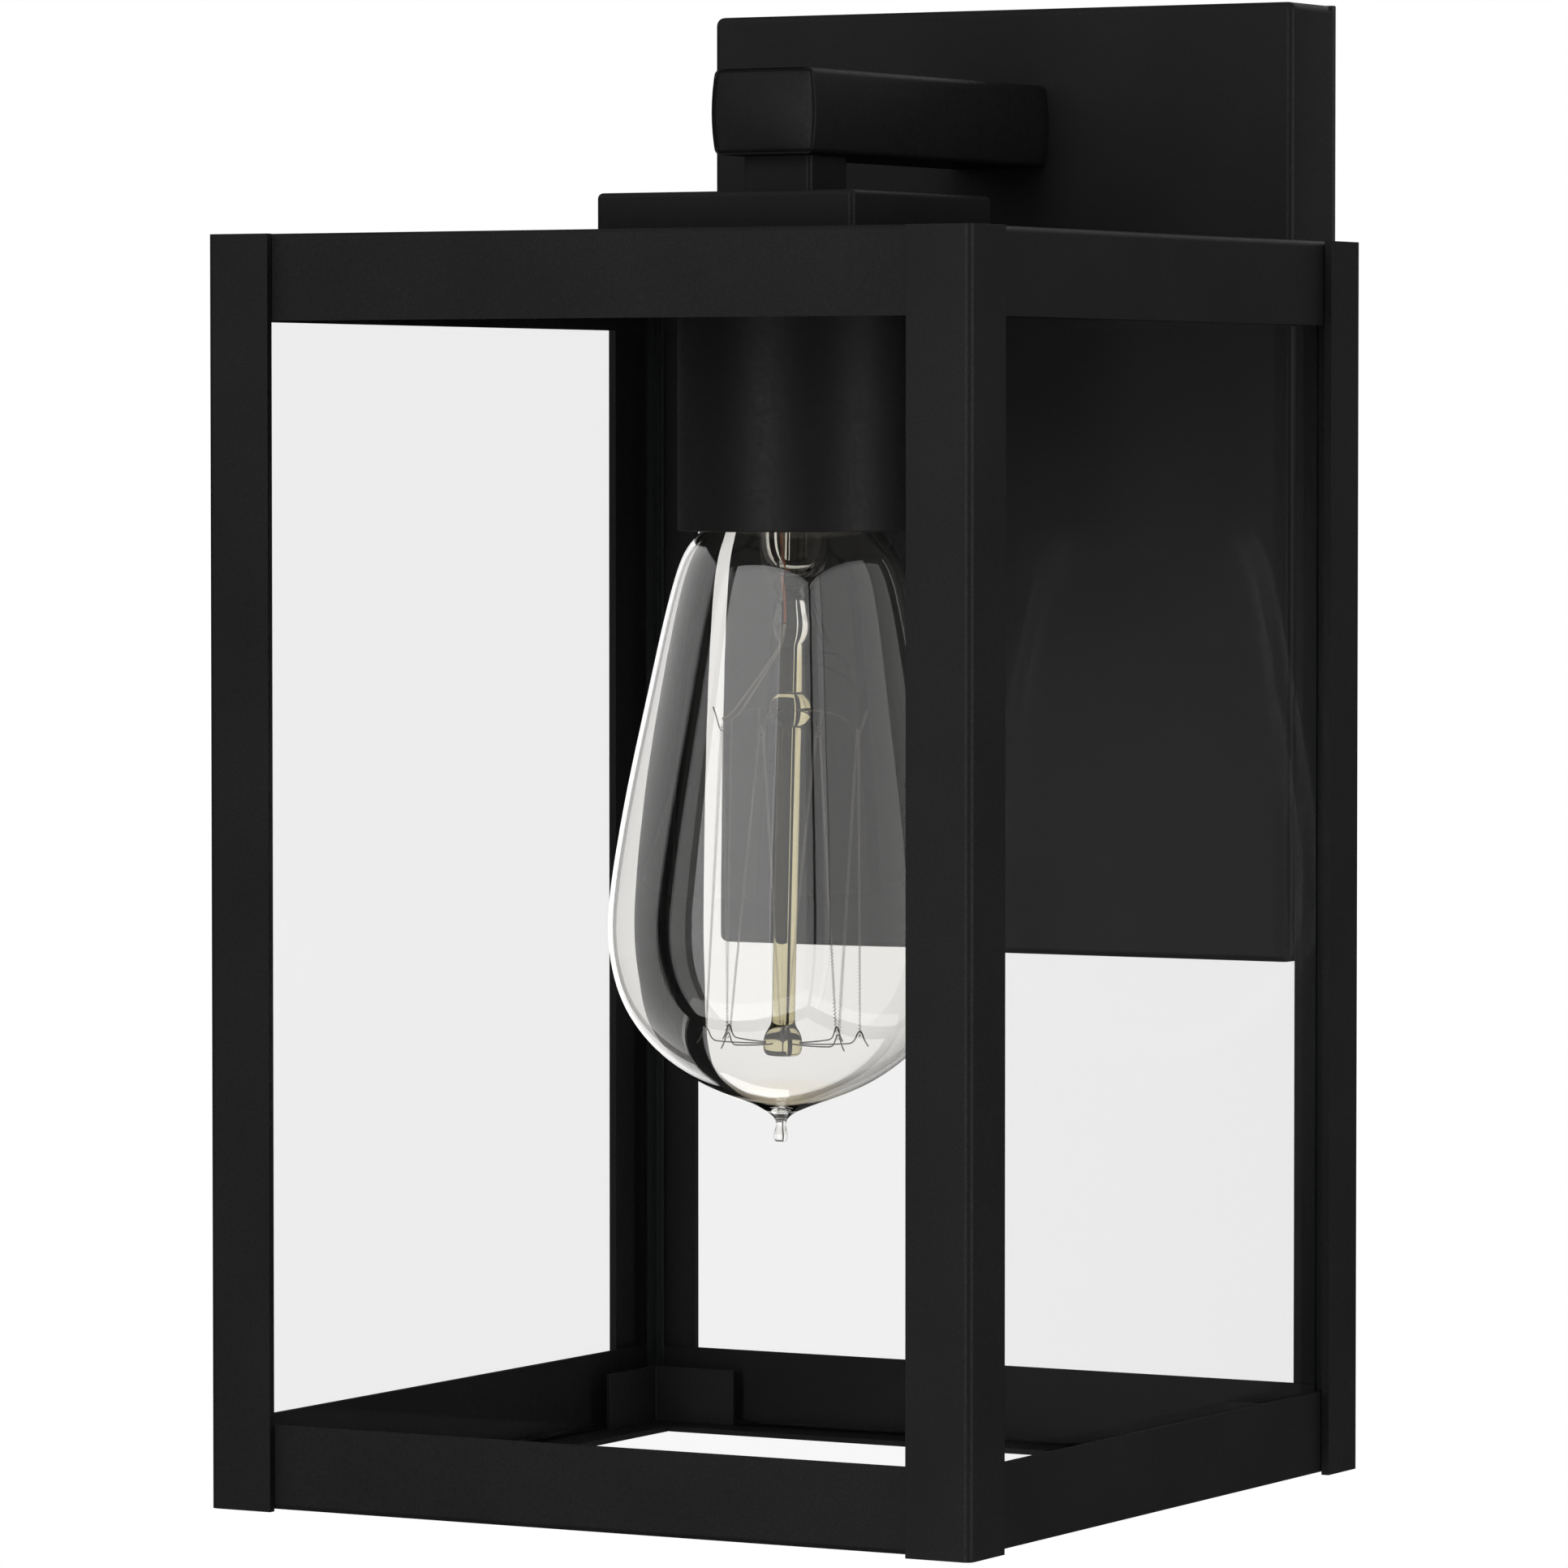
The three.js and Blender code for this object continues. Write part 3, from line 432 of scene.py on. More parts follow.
# -------------------- corner clips
# Small angles of thin black steel, tacked inside the corners at the top and the bottom.
# They keep the panes against the rails.
CLIP_SHEET = 0.9 * MM
CLIP_BEND = 1.2 * MM
clip_low, clip_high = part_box("bottom_clip_front_left")
clip_leg = clip_high.x - clip_low.x
for level in ("bottom", "top"):
    level_low, level_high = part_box(f"{level}_clip_front_left")
    for quarter, corner in enumerate(CORNERS):
        clip = folded_angle(
            level_low, clip_leg, clip_leg, level_low.z, level_high.z, CLIP_BEND, CLIP_SHEET
        )
        round_edges(clip, sharp_edges(clip), THIN_EDGE_BREAK, 2)
        quarter_turns(clip, quarter)
        coated(f"glass_clip_{level}_{corner}", clip, f"{level}_clip_{corner}")


# -------------------- panes
# Four panes of 3 mm float glass with seamed edges, slipped in behind the rails.
# The faces are clear. The edges are a very dark green, as they look down into the black frame.
FACE_GLOSS = 0.008  # the share of light mirrored head on
GRAZING_GLOSS = 0.6  # and what is added along the face


def float_glass():
    """Clear float glass seen through its faces. Light passes unbent through so thin a pane."""
    material, tree = new_material("clear float glass")
    facing = add_node(tree, "LayerWeight", {"Blend": 0.5}).outputs["Facing"]
    fifth = add_node(tree, "Math", {0: facing, 1: 5.0}, operation="POWER")
    mirrored = add_node(
        tree, "Math", {0: fifth, 1: GRAZING_GLOSS, 2: FACE_GLOSS}, operation="MULTIPLY_ADD"
    )
    through = add_node(tree, "BsdfTransparent", {"Color": linear("#fcfcfc")})
    gloss = add_node(tree, "BsdfGlossy", {"Roughness": 0.02})
    pane = add_node(tree, "MixShader", {0: mirrored, 1: through, 2: gloss})
    add_node(tree, "OutputMaterial", {"Surface": pane})
    return material


def seamed_glass_edge():
    """The ground edge of float glass, slightly frosted: green from iron in the melt, and darkened
    with painted shade for the black frame seen through it.
    """
    material, tree = new_material("seamed float glass edge")
    place = add_node(tree, "TexCoord").outputs["Object"]
    # Scratches from the seaming belt, 0.4 mm apart.
    belt = add_node(tree, "TexNoise", {"Vector": place, "Scale": 1 / (0.4 * MM)})
    rough = add_node(tree, "MapRange", {"Value": belt, "To Min": 0.2, "To Max": 0.45})
    # The near-black base colour is painted shade, for the black frame that the edge looks into.
    shader = add_node(
        tree, "BsdfPrincipled", {"Base Color": linear("#1b201e"), "Roughness": rough, "IOR": 1.52}
    )
    add_node(tree, "OutputMaterial", {"Surface": shader})
    return material


pane_glass = float_glass()
pane_edge_glass = seamed_glass_edge()
SEAM = 0.35 * MM
for side in SIDES:
    pane_low, pane_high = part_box("glass_pane_" + side)
    pane = block(pane_low, pane_high)
    round_edges(pane, pane.edges[:], SEAM, 1)
    big = max(face.calc_area() for face in pane.faces)
    for face in pane.faces:
        face.material_index = 0 if face.calc_area() > big / 2 else 1
    piece = add_piece("pane_" + side, pane, pane_glass, "clear_glass", ["glass_pane_" + side])
    piece.data.materials.append(pane_edge_glass)
    even_shading(piece)


# -------------------- cap and neck
# The cap is a shallow folded box that covers the hole in the roof. The neck is a short
# square tube clamped between the cap and the arm by the threaded stem inside it.
CAP_SHEET = 1.2 * MM
CAP_EDGE = 1.0 * MM
CAP_CORNER = 1.1 * MM
NECK_WALL = 1.7 * MM
NECK_CORNER = 1.0 * MM

cap_low, cap_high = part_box("top_cap")
coated("roof_cap", folded_pan(cap_low, cap_high, CAP_SHEET, CAP_EDGE, CAP_CORNER), "top_cap")

neck_low, neck_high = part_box("neck")
neck = block(neck_low, neck_high)
ends = [f for f in neck.faces if abs(f.normal.z) > 0.5]
bmesh.ops.delete(neck, geom=ends, context="FACES_ONLY")
round_edges(neck, [e for e in neck.edges if e.is_manifold], NECK_CORNER, 5)
bmesh.ops.recalc_face_normals(neck, faces=neck.faces)
bmesh.ops.solidify(neck, geom=neck.faces[:], thickness=NECK_WALL)
round_edges(neck, sharp_edges(neck), 0.15 * MM, 2)
coated("square_neck", neck, "neck")


# -------------------- arm
# The arm is a die casting with softly crowned sides and a crowned front end, bored for the
# leads. Two screws from inside the backplate hold it.
ARM_CORNER = 1.1 * MM
ARM_CROWN = 0.8 * MM  # the sides swell by this
ARM_END_CROWN = 1.0 * MM
ARM_STRIPS = 4  # on each side of the middle, so that the faces can swell

arm_low, arm_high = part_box("arm")
arm_middle = (arm_low + arm_high) / 2
arm_half = (arm_high - arm_low) / 2
arm_core = arm_half - Vector((ARM_CROWN, 0, 0))
arm = block(arm_middle - arm_core, arm_middle + arm_core)
off_the_wall = [e for e in arm.edges if any(v.co.y < arm_high.y - 1e-6 for v in e.verts)]
round_edges(arm, off_the_wall, ARM_CORNER, 5)
for level in range(1 - ARM_STRIPS, ARM_STRIPS):
    for axis, reach in ((2, arm_half.z), (0, arm_core.x)):
        normal = Vector((0, 0, 0))
        normal[axis] = 1
        cut(arm, arm_middle + normal * (level / ARM_STRIPS * reach), normal, clear_outer=False)
for vert in arm.verts:
    across = (vert.co.x - arm_middle.x) / arm_core.x
    height = (vert.co.z - arm_middle.z) / arm_half.z
    crown = max(0.0, 1 - height * height)
    vert.co.x += math.copysign(ARM_CROWN * crown * abs(across), across)
    if vert.co.y < arm_low.y + ARM_CORNER / 2:
        vert.co.y += ARM_END_CROWN * (1 - crown * max(0.0, 1 - across * across))
coated("crowned_arm", arm, "arm")


# -------------------- backplate
# A pressed steel pan with dressed corners, open towards the wall. It hides the wall box and
# carries the arm.
PLATE_SHEET = 1.2 * MM
PLATE_EDGE = 1.3 * MM
PLATE_CORNER = 1.6 * MM

plate_low, plate_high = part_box("backplate")
plate_size = plate_high - plate_low
plate = folded_pan(
    Vector((plate_low.x, plate_low.z, 0)),
    Vector((plate_high.x, plate_high.z, plate_size.y)),
    PLATE_SHEET,
    PLATE_EDGE,
    PLATE_CORNER,
)
stand_up = Matrix.Rotation(math.pi / 2, 3, "X")
bmesh.ops.rotate(plate, verts=plate.verts, cent=(0, 0, 0), matrix=stand_up)
bmesh.ops.translate(plate, verts=plate.verts, vec=(0, plate_high.y, 0))
coated("pressed_backplate", plate, "backplate")


# -------------------- wall gasket
# A frame of closed-cell rubber foam, stuck to the backplate's rim so that it seals on the wall.
def foam_rubber():
    """Closed-cell neoprene foam: dull black, with cut cells about 0.4 mm across."""
    material, tree = new_material("closed-cell foam rubber")
    place = add_node(tree, "TexCoord").outputs["Object"]
    cells = add_node(tree, "TexVoronoi", {"Vector": place, "Scale": 1 / (0.4 * MM)})
    tone = add_node(tree, "ValToRGB", {"Fac": cells})
    tone.color_ramp.elements[0].color = linear("#1c1c1c")
    tone.color_ramp.elements[1].color = linear("#2b2b2a")
    relief = add_node(tree, "Bump", {"Height": cells, "Strength": 0.6, "Distance": 0.1 * MM})
    shader = add_node(
        tree, "BsdfPrincipled", {"Base Color": tone, "Roughness": 0.85, "Normal": relief}
    )
    add_node(tree, "OutputMaterial", {"Surface": shader})
    return material


def machined_copy(node, edge_break, degrees=50):
    """A CAD node's own shape, merged, with its sharp edges broken."""
    shape = bmesh.new()
    shape.from_mesh(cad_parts[node].data)
    bmesh.ops.remove_doubles(shape, verts=shape.verts, dist=0.002 * MM)
    bmesh.ops.dissolve_limit(
        shape, angle_limit=math.radians(1), verts=shape.verts, edges=shape.edges
    )
    round_edges(shape, sharp_edges(shape, degrees), edge_break, 2)
    return shape


rubber = foam_rubber()
gasket = machined_copy("wall_gasket", 0.2 * MM)
even_shading(add_piece("foam_gasket", gasket, rubber, "rubber", ["wall_gasket"]))
for node in ("seal_washer", "wire_bushing"):
    washer = machined_copy(node, 0.15 * MM)
    even_shading(add_piece("moulded_" + node, washer, rubber, "rubber", [node]))


# -------------------- bracket and plated hardware
# The crossbar is stamped from strip with its ears folded out and tapped. Bracket, stem, nut,
# washer, strap and the arm's screws are all zinc plated.
def zinc_plate():
    """Bright zinc on steel: bluish white metal, with a cloudy chromate film over it."""
    material, tree = new_material("bright zinc plate on steel")
    place = add_node(tree, "TexCoord").outputs["Object"]
    cloud = add_node(tree, "TexNoise", {"Vector": place, "Scale": 1 / (6 * MM), "Detail": 4.0})
    tone = add_node(tree, "ValToRGB", {"Fac": cloud})
    tone.color_ramp.elements[0].position = 0.35
    tone.color_ramp.elements[0].color = linear("#babcbf")
    tone.color_ramp.elements[1].position = 0.65
    tone.color_ramp.elements[1].color = linear("#c8c7c2")
    rough = add_node(tree, "MapRange", {"Value": cloud, "To Min": 0.3, "To Max": 0.4})
    # Rolling marks in the strip, 0.3 mm apart.
    rolled = add_node(tree, "Mapping", {"Vector": place, "Scale": (0.04, 1, 1)})
    marks = add_node(tree, "TexNoise", {"Vector": rolled, "Scale": 1 / (0.3 * MM)})
    relief = add_node(tree, "Bump", {"Height": marks, "Strength": 0.3, "Distance": 0.01 * MM})
    shader = add_node(
        tree,
        "BsdfPrincipled",
        {"Base Color": tone, "Metallic": 1.0, "Roughness": rough, "Normal": relief},
    )
    add_node(tree, "OutputMaterial", {"Surface": shader})
    return material


zinc = zinc_plate()
PLATED = {
    "mounting_bracket": 0.25,
    "stem_nut": 0.3,
    "lock_washer": 0.1,
    "socket_strap": 0.2,
    "arm_screw_left": 0.12,
    "arm_screw_right": 0.12,
}
for node, edge_break in PLATED.items():
    plated = machined_copy(node, edge_break * MM)
    even_shading(add_piece("plated_" + node, plated, zinc, "zinc_steel", [node]))


def threaded_tube(centre, low, high, root, crest, pitch):
    """A tube with a right-hand thread outside, cut square at both ends."""
    steps = 24  # round one turn
    flanks = 6  # along one pitch
    turns = math.ceil((high - low) / pitch) + 1
    shape = bmesh.new()
    section = []
    for k in range(flanks + 1):
        swing = math.cos(2 * math.pi * k / flanks)
        radius = (crest + root) / 2 + (crest - root) / 2 * swing
        spot = Vector((radius, 0, low - pitch + pitch * k / flanks))
        section.append(shape.verts.new(centre + spot))
    edges = [shape.edges.new(pair) for pair in zip(section, section[1:])]
    bmesh.ops.spin(
        shape,
        geom=section + edges,
        cent=centre,
        axis=(0, 0, 1),
        dvec=(0, 0, pitch / steps),
        angle=2 * math.pi * turns,
        steps=steps * turns,
    )
    bmesh.ops.remove_doubles(shape, verts=shape.verts, dist=0.01 * MM)
    cut(shape, (0, 0, low), (0, 0, -1))
    cut(shape, (0, 0, high), (0, 0, 1))
    return shape


def grow_rim(shape, centre, level, rings):
    """Carries the open rim at this level on through rings of (radius, height)."""
    rim = [
        e for e in shape.edges if e.is_boundary and all(abs(v.co.z - level) < 1e-6 for v in e.verts)
    ]
    for radius, height in rings:
        grown = bmesh.ops.extrude_edge_only(shape, edges=rim)["geom"]
        rim = [e for e in grown if isinstance(e, bmesh.types.BMEdge)]
        for vert in verts_in(grown):
            out = Vector((vert.co.x - centre.x, vert.co.y - centre.y, 0)).normalized()
            vert.co = Vector((centre.x, centre.y, height)) + out * radius


stem_low, stem_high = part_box("threaded_stem")
stem_radius = (stem_high.x - stem_low.x) / 2
STEM_PITCH = 25.4 / 27 * MM
STEM_DEPTH = 0.5 * MM  # of the thread
STEM_CHAMFER = 0.4 * MM
STEM_BORE = 3.5 * MM
thread_low = stem_low.z + STEM_CHAMFER
thread_high = stem_high.z - STEM_CHAMFER
stem = threaded_tube(
    body_centre, thread_low, thread_high, stem_radius - STEM_DEPTH, stem_radius, STEM_PITCH
)
end_radius = stem_radius - 0.6 * MM
bored = [(STEM_BORE, stem_high.z), (STEM_BORE, stem_low.z)]
grow_rim(stem, body_centre, thread_high, [(end_radius, stem_high.z), *bored])
grow_rim(stem, body_centre, thread_low, [(end_radius, stem_low.z), bored[1]])
bmesh.ops.remove_doubles(stem, verts=stem.verts, dist=0.01 * MM)
add_piece("threaded_tube", stem, zinc, "zinc_steel", ["threaded_stem"])


def dyed_screw():
    """A ground screw's steel under transparent green dye."""
    material, tree = new_material("green-dyed ground screw")
    place = add_node(tree, "TexCoord").outputs["Object"]
    dye = add_node(tree, "TexNoise", {"Vector": place, "Scale": 1 / (1.5 * MM)})
    tone = add_node(tree, "ValToRGB", {"Fac": dye})
    tone.color_ramp.elements[0].color = linear("#0f6b34")
    tone.color_ramp.elements[1].color = linear("#2f9a55")
    shader = add_node(
        tree, "BsdfPrincipled", {"Base Color": tone, "Metallic": 0.7, "Roughness": 0.3}
    )
    add_node(tree, "OutputMaterial", {"Surface": shader})
    return material


ground_screw = machined_copy("ground_screw", 0.15 * MM)
even_shading(
    add_piece("dyed_ground_screw", ground_screw, dyed_screw(), "green_screw", ["ground_screw"])
)


# -------------------- side screws
# Two pan-head machine screws with a straight slot, coated black with the frame. They go
# through the backplate's sides into the bracket's ears.
SLOT = 1.1 * MM
SLOT_FLOOR = 0.42  # share of the head's height
SHANK_LENGTH = 9 * MM
SHANK = 1.95 * MM
SHANK_CHAMFER = 0.5 * MM


def turned(outline, centre, steps=72):
    """A closed shape turned about an upright axis, from (radius, height) pairs."""
    shape = bmesh.new()
    points = [shape.verts.new(centre + Vector((radius, 0, height))) for radius, height in outline]
    sides = [shape.edges.new(pair) for pair in zip(points, points[1:])]
    bmesh.ops.spin(
        shape,
        geom=points + sides,
        cent=centre,
        axis=(0, 0, 1),
        angle=2 * math.pi,
        steps=steps,
        use_merge=True,
    )
    bmesh.ops.remove_doubles(shape, verts=shape.verts, dist=0.005 * MM)
    return shape


for side, sign in (("right", 1), ("left", -1)):
    screw_low, screw_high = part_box("side_screw_" + side)
    middle = (screw_low + screw_high) / 2
    head_radius = (screw_high.y - screw_low.y) / 2
    head_top = screw_high.x - screw_low.x - SHANK_LENGTH
    outline = [
        (0, -SHANK_LENGTH),
        (SHANK - SHANK_CHAMFER, -SHANK_LENGTH),
        (SHANK, SHANK_CHAMFER - SHANK_LENGTH),
        (SHANK, 0),
        (head_radius, 0),
        (head_radius, head_top * 0.35),
        (head_radius * 0.92, head_top * 0.66),
        (head_radius * 0.7, head_top * 0.88),
        (head_radius * 0.4, head_top * 0.98),
        (0, head_top),
    ]
    screw = turned(outline, Vector((0, 0, 0)), 36)
    for edge in (-1, 1):
        cut(screw, (0, edge * SLOT / 2, 0), (0, 1, 0), clear_outer=False)
    slot_top = [
        f
        for f in screw.faces
        if abs(f.calc_center_median().y) < SLOT / 2 and f.calc_center_median().z > head_top * 0.5
    ]
    sunk = bmesh.ops.extrude_face_region(screw, geom=slot_top)["geom"]
    bmesh.ops.delete(screw, geom=slot_top, context="FACES")
    for vert in verts_in(sunk):
        vert.co.z = head_top * SLOT_FLOOR
    round_edges(screw, sharp_edges(screw, 60), 0.1 * MM, 1)
    turn = Matrix.Rotation(sign * math.pi / 2, 3, "Y")
    bmesh.ops.rotate(screw, verts=screw.verts, cent=(0, 0, 0), matrix=turn)
    seat = screw_high.x - head_top if sign > 0 else screw_low.x + head_top
    bmesh.ops.translate(screw, verts=screw.verts, vec=(seat, middle.y, middle.z))
    coated("pan_head_screw_" + side, screw, "side_screw_" + side)


# -------------------- leads and connectors
# Two insulated fixture leads run from the lamp holder through the stem and the arm. Behind
# the backplate they end in twist-on connectors, and a bare copper wire grounds the arm.
def insulation(name, dark, light):
    """Extruded vinyl insulation, satin, with faint draw marks."""
    material, tree = new_material(name)
    place = add_node(tree, "TexCoord").outputs["Object"]
    marks = add_node(tree, "TexNoise", {"Vector": place, "Scale": 1 / (1.2 * MM), "Detail": 3.0})
    tone = add_node(tree, "ValToRGB", {"Fac": marks})
    tone.color_ramp.elements[0].color = linear(dark)
    tone.color_ramp.elements[1].color = linear(light)
    relief = add_node(tree, "Bump", {"Height": marks, "Strength": 0.2, "Distance": 0.02 * MM})
    shader = add_node(
        tree, "BsdfPrincipled", {"Base Color": tone, "Roughness": 0.42, "Normal": relief}
    )
    add_node(tree, "OutputMaterial", {"Surface": shader})
    return material


def bare_metal(name, dark, light, roughness, grain):
    """Drawn or stamped bare metal, with a slight change of tone over this grain."""
    material, tree = new_material(name)
    place = add_node(tree, "TexCoord").outputs["Object"]
    stain = add_node(tree, "TexNoise", {"Vector": place, "Scale": 1 / grain, "Detail": 3.0})
    tone = add_node(tree, "ValToRGB", {"Fac": stain})
    tone.color_ramp.elements[0].color = linear(dark)
    tone.color_ramp.elements[1].color = linear(light)
    rough = add_node(
        tree, "MapRange", {"Value": stain, "To Min": roughness * 0.75, "To Max": roughness * 1.25}
    )
    shader = add_node(
        tree, "BsdfPrincipled", {"Base Color": tone, "Metallic": 1.0, "Roughness": rough}
    )
    add_node(tree, "OutputMaterial", {"Surface": shader})
    return material


def round_wire(node, material, slot):
    """A lead or wire along its CAD route, made round."""
    shape = bmesh.new()
    shape.from_mesh(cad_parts[node].data)
    bmesh.ops.remove_doubles(shape, verts=shape.verts, dist=0.002 * MM)
    piece = add_piece("drawn_" + node, shape, material, slot, [node])
    smooth = piece.modifiers.new("round", "SUBSURF")
    smooth.levels = smooth.render_levels = 2


bright_copper = bare_metal("bare copper wire", "#b06c49", "#cb8a62", 0.32, 3 * MM)
black_vinyl = insulation("black vinyl insulation", "#161617", "#1e1e20")
white_vinyl = insulation("white vinyl insulation", "#d9d7cf", "#e6e4dd")
round_wire("lead_live", black_vinyl, "black_insulation")
round_wire("lead_neutral", white_vinyl, "white_insulation")
round_wire("ground_wire", bright_copper, "copper")
ground_lug = machined_copy("ground_lug", 0.1 * MM)
even_shading(add_piece("crimped_lug", ground_lug, bright_copper, "copper", ["ground_lug"]))

CONNECTOR = [  # shares of its radius and its height
    (0, 0), (0.42, 0.02), (0.5, 0.08), (0.78, 0.22), (0.92, 0.8),
    (1, 0.84), (1, 1), (0.74, 1), (0.7, 0.3), (0, 0.3),
]  # fmt: skip
CONNECTOR_STEPS = 48
FLUTE_DEPTH = 0.08  # share of the radius
orange_nylon = insulation("moulded orange nylon", "#c65f16", "#d66f22")
for pole in ("live", "neutral"):
    low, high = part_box("wire_connector_" + pole)
    middle = (low + high) / 2
    tall = high.z - low.z
    radius = (high.x - low.x) / 2
    outline = [(across * radius, up * tall) for across, up in CONNECTOR]
    connector = turned(outline, Vector((middle.x, middle.y, low.z)), CONNECTOR_STEPS)
    for vert in connector.verts:  # sixteen grip flutes round the cone
        spoke = Vector((vert.co.x - middle.x, vert.co.y - middle.y, 0))
        height = (vert.co.z - low.z) / tall
        if 0.1 < height < 0.82 and spoke.length > 0.6 * radius:
            step = round(math.degrees(math.atan2(spoke.y, spoke.x)) / 360 * CONNECTOR_STEPS)
            vert.co -= spoke * (FLUTE_DEPTH if step % 3 == 0 else 0)
    add_piece(
        "twist_on_connector_" + pole,
        connector,
        orange_nylon,
        "orange_nylon",
        ["wire_connector_" + pole],
    )


# -------------------- socket cup
# A cup spun from thin steel, open below, with its rim hemmed inward. It hangs on the stem's
# nut under the roof and hides the lamp holder.
cup_low, cup_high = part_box("socket_cup")
cup_radius = (cup_high.x - cup_low.x) / 2
CUP_SHEET = 0.9 * MM
CUP_HOLE = 5.3 * MM
CUP_BROW = 0.8 * MM
CUP_HEM = 0.3 * MM
cup = turned(
    [
        (cup_radius - CUP_SHEET, cup_low.z),
        (cup_radius, cup_low.z),
        (cup_radius, cup_high.z),
        (CUP_HOLE, cup_high.z),
        (CUP_HOLE, cup_high.z - CUP_SHEET),
        (cup_radius - CUP_SHEET, cup_high.z - CUP_SHEET),
        (cup_radius - CUP_SHEET, cup_low.z),
    ],
    body_centre,
    96,
)


def on_brow(vert):
    """Whether this corner is on the cup's upper outer edge."""
    out = (vert.co - body_centre).xy.length
    return vert.co.z > cup_high.z - 1e-6 and out > 0.9 * cup_radius


cup_brow = [e for e in sharp_edges(cup) if all(on_brow(v) for v in e.verts)]
round_edges(cup, cup_brow, CUP_BROW, 4)
round_edges(cup, sharp_edges(cup), CUP_HEM, 3)
coated("spun_socket_cup", cup, "socket_cup")


# -------------------- lamp holder
# Glazed porcelain with a rolled brass screw shell and a sprung brass centre contact. The
# plated strap above it hangs it from the stem.
def glazed_porcelain():
    """White porcelain under clear glaze: warm white, glossy, with a very slight ripple."""
    material, tree = new_material("glazed porcelain")
    place = add_node(tree, "TexCoord").outputs["Object"]
    ripple = add_node(tree, "TexNoise", {"Vector": place, "Scale": 1 / (4 * MM), "Detail": 2.0})
    tone = add_node(tree, "ValToRGB", {"Fac": ripple})
    tone.color_ramp.elements[0].color = linear("#e4dfd2")
    tone.color_ramp.elements[1].color = linear("#efebe1")
    relief = add_node(tree, "Bump", {"Height": ripple, "Strength": 0.15, "Distance": 0.05 * MM})
    shader = add_node(
        tree,
        "BsdfPrincipled",
        {"Base Color": tone, "Roughness": 0.12, "IOR": 1.5, "Coat Weight": 0.6, "Normal": relief},
    )
    add_node(tree, "OutputMaterial", {"Surface": shader})
    return material


holder_low, holder_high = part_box("socket_body")
holder_radius = (holder_high.x - holder_low.x) / 2
HOLDER_BORE = 15 * MM
HOLDER_FLOOR = 5 * MM
HOLDER_CHAMFER = 1.5 * MM
holder = turned(
    [
        (0, holder_high.z),
        (0, holder_high.z - HOLDER_FLOOR),
        (HOLDER_BORE, holder_high.z - HOLDER_FLOOR),
        (HOLDER_BORE, holder_low.z),
        (holder_radius - 0.6 * MM, holder_low.z),
        (holder_radius, holder_low.z + 0.8 * MM),
        (holder_radius, holder_high.z - HOLDER_CHAMFER),
        (holder_radius - HOLDER_CHAMFER, holder_high.z),
        (0, holder_high.z),
    ],
    body_centre,
)
round_edges(holder, sharp_edges(holder, 35), 0.4 * MM, 3)
even_shading(
    add_piece("porcelain_holder", holder, glazed_porcelain(), "porcelain", ["socket_body"])
)

EDISON_PITCH = 25.4 / 7 * MM
base_low, base_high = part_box("bulb_base_shell")
base_crest = (base_high.x - base_low.x) / 2
base_root = base_crest - 0.8 * MM
THREAD_PLAY = 0.4 * MM
shell_low, shell_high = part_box("screw_shell")
stamped_brass = bare_metal("stamped brass", "#a98543", "#c8a25a", 0.3, 5 * MM)
frame_floor = post_low.z  # the threads are counted from the frame's lower edge


def edison_thread(low, high, root, crest):
    """A rolled Edison thread between two levels, in step with the one it mates with."""
    start = frame_floor + EDISON_PITCH * math.floor((low - frame_floor) / EDISON_PITCH)
    shape = threaded_tube(body_centre, start, high, root, crest, EDISON_PITCH)
    cut(shape, (0, 0, low), (0, 0, -1))
    return shape


shell = edison_thread(shell_low.z, shell_high.z, base_root + THREAD_PLAY, base_crest + THREAD_PLAY)
SHELL_RADIUS = 14.4 * MM
outer_wall = [(SHELL_RADIUS, shell_high.z), (SHELL_RADIUS, shell_low.z)]
grow_rim(shell, body_centre, shell_high.z, outer_wall)
bmesh.ops.remove_doubles(shell, verts=shell.verts, dist=0.01 * MM)
bmesh.ops.bridge_loops(shell, edges=[e for e in shell.edges if e.is_boundary])
add_piece("rolled_screw_shell", shell, stamped_brass, "brass", ["screw_shell"])
contact = machined_copy("centre_contact", 0.15 * MM)
even_shading(add_piece("sprung_contact", contact, stamped_brass, "brass", ["centre_contact"]))


# -------------------- bulb base
# The E26 base is rolled nickel-washed brass, cemented to the glass. Black glass insulates
# it from the soldered tip.
washed_brass = bare_metal("nickel-washed brass", "#b3a579", "#cfc39a", 0.28, 4 * MM)
thread_low = base_low.z + 4 * MM
thread_high = base_low.z + 20 * MM
base = edison_thread(thread_low, thread_high, base_root, base_crest)
grow_rim(
    base,
    body_centre,
    thread_low,
    [
        (base_root, base_low.z + 3.4 * MM),
        (base_crest, base_low.z + 2.6 * MM),
        (base_crest, base_low.z + 0.3 * MM),
        (base_crest - 0.3 * MM, base_low.z),
    ],
)
GLASS_SOCKET = 9.5 * MM  # the glass is cemented into an opening of this radius
collar = [(base_root - 0.1 * MM, thread_high + 0.6 * MM), (GLASS_SOCKET, base_high.z)]
grow_rim(base, body_centre, thread_high, collar)
base_piece = add_piece("rolled_base", base, washed_brass, "base_brass", ["bulb_base_shell"], "bulb")
base_wall = base_piece.modifiers.new("sheet", "SOLIDIFY")
base_wall.thickness = 0.3 * MM
base_wall.offset = -1


